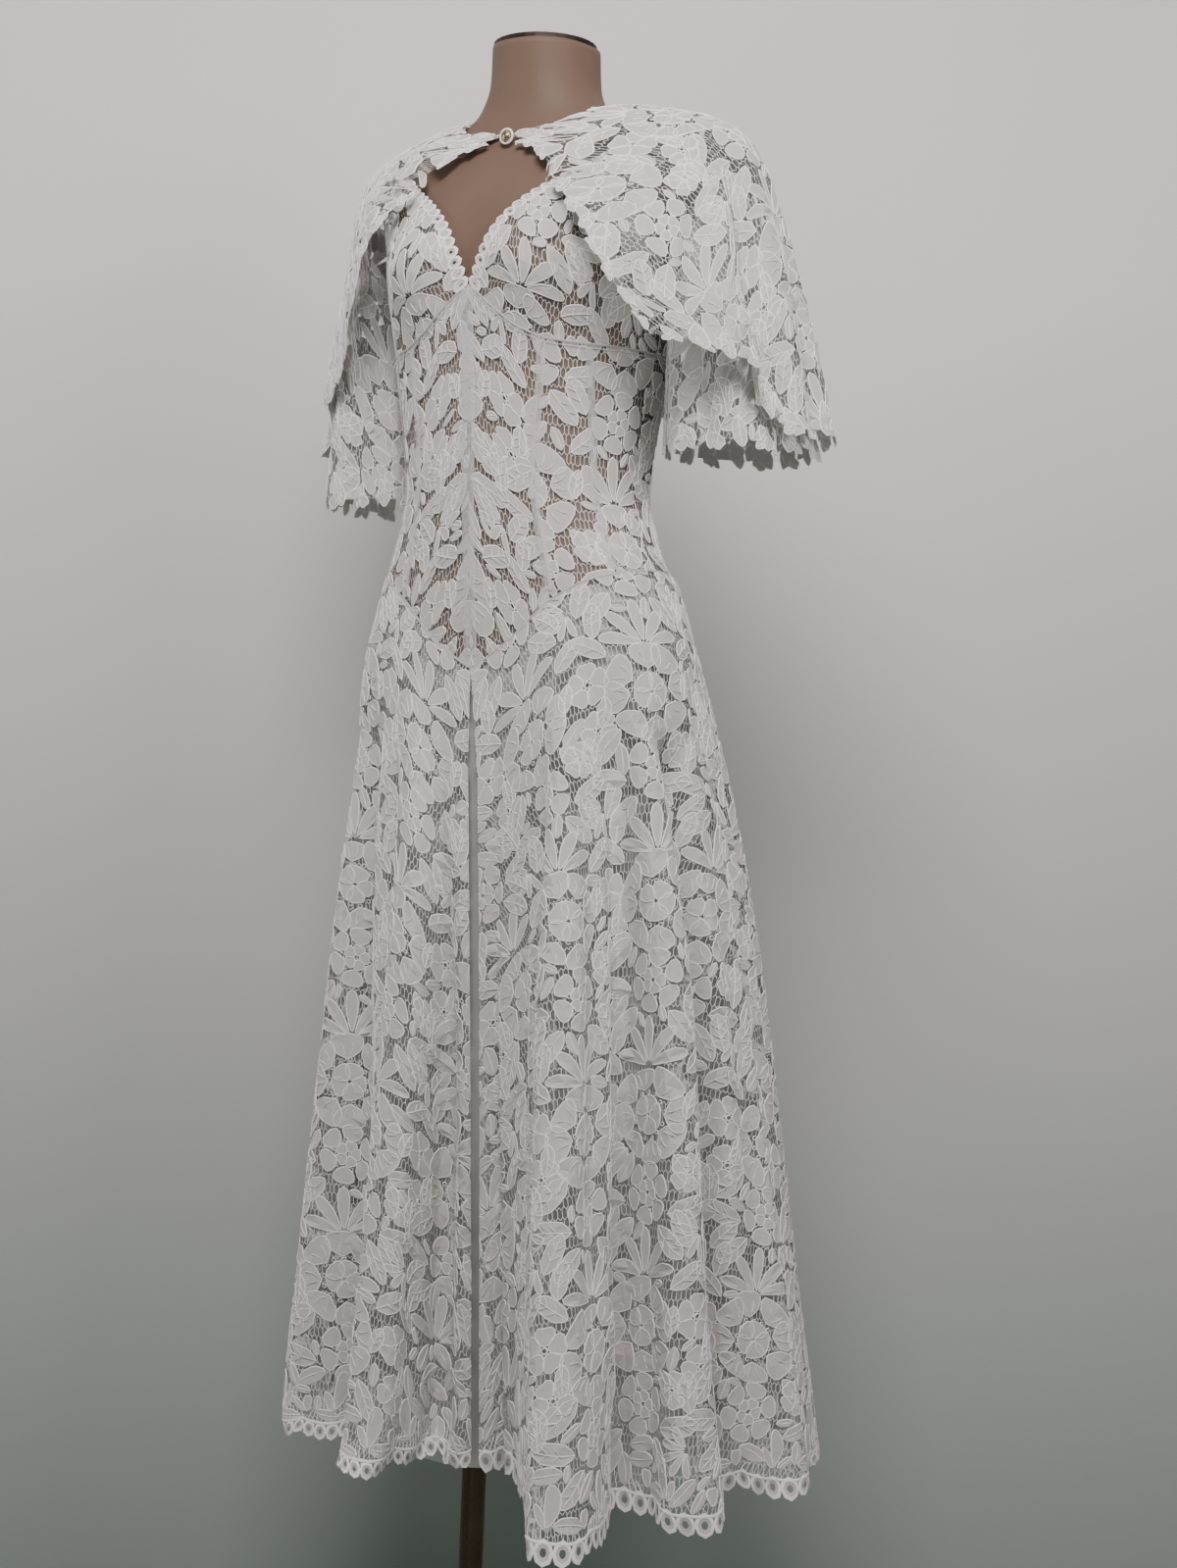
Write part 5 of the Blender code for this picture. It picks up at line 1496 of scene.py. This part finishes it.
def make_form(skin):
    angles, levels = np.linspace(0, 360, 145)[:-1], np.linspace(FORM[0][0], FORM[-1][0], 141)
    points = form_point(angles[None, :], levels[:, None])
    rings, around = points.shape[:2]
    first = (np.arange(rings - 1)[:, None] * around + np.arange(around)).ravel()
    after = (np.arange(rings - 1)[:, None] * around + (np.arange(around) + 1) % around).ravel()
    faces = np.stack([first, after, after + around, first + around], -1).tolist()
    faces += [list(range(around))[::-1], list(range((rings - 1) * around, rings * around))]
    body = make_object("form_body", points.reshape(-1, 3), faces, [skin])
    body.data.polygons[-1].use_smooth = False
    body.data.polygons[-2].use_smooth = False
    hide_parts("form_torso")


def lathe(name, profile, steps, material):
    """Turned piece about its own Y axis from (radius, depth) pairs."""
    turn = 2 * np.pi * np.arange(steps) / steps
    points = np.array([[radius * math.cos(a), depth, radius * math.sin(a)]
                       for radius, depth in profile for a in turn])
    first = (np.arange(len(profile) - 1)[:, None] * steps + np.arange(steps)).ravel()
    after = (np.arange(len(profile) - 1)[:, None] * steps + (np.arange(steps) + 1) % steps).ravel()
    faces = np.stack([first, after, after + steps, first + steps], -1).tolist()
    faces += [list(range(steps))[::-1], list(range((len(profile) - 1) * steps, len(profile) * steps))]
    return make_object(name, points + np.array(BUTTON_AT), faces, [material])


def make_button(gold, thread):
    r = BUTTON_RADIUS
    profile = [(0.15 * r, 0.55 * r), (0.75 * r, 0.5 * r), (r, 0.15 * r), (r, -0.15 * r),
               (0.92 * r, -0.38 * r), (0.80 * r, -0.42 * r), (0.70 * r, -0.30 * r),
               (0.50 * r, -0.44 * r), (0.25 * r, -0.56 * r),
               (0.08 * r, -0.60 * r)]
    button = lathe("button", profile, 28, gold)
    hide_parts("cape_button")
    turn = np.linspace(0, 2 * np.pi, 49)[:-1]
    circle = np.stack([np.cos(turn), 0 * turn, np.sin(turn)], -1) * LOOP_RADIUS
    loop = tube("button_loop", circle + np.array(BUTTON_AT), LOOP_CORD, thread, closed=True)
    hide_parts("cape_loop")


def finish_nodes(names, material):
    for name in names:
        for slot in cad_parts[name].material_slots:
            slot.material = material


def build():
    make_camera()
    make_stage()
    make_lights()
    cord, fill, net = lace_cord_finish(), lace_fill_finish(), lace_net_finish()
    lace_set = [cord, fill, net]
    ground, sheer, tape = ground_finish(), lining_finish(), tape_finish()
    bronze = metal_finish("Dark bronze", (0.050, 0.036, 0.026), (0.110, 0.080, 0.056), 0.22, 40.0)
    gold = metal_finish("Button gold", (0.42, 0.30, 0.17), (0.62, 0.47, 0.30), 0.22, 300.0)
    make_form(skin_finish())
    finish_nodes(["stand_base", "stand_pole", "stand_flange"], bronze)
    cap = metal_finish("Dull cap edge", (0.035, 0.028, 0.024), (0.07, 0.056, 0.046), 0.5, 60.0)
    finish_nodes(["form_neck_cap"], cap)
    make_lining(sheer)
    make_skirt(lace_set, ground)
    make_bodice(lace_set, ground, tape)
    make_upper_bodice(lace_set, ground)
    make_sleeves(lace_set, ground)
    make_cape(lace_set, ground)
    make_neck_tip(net)
    make_seams(tape)
    make_button(gold, cord)


build()
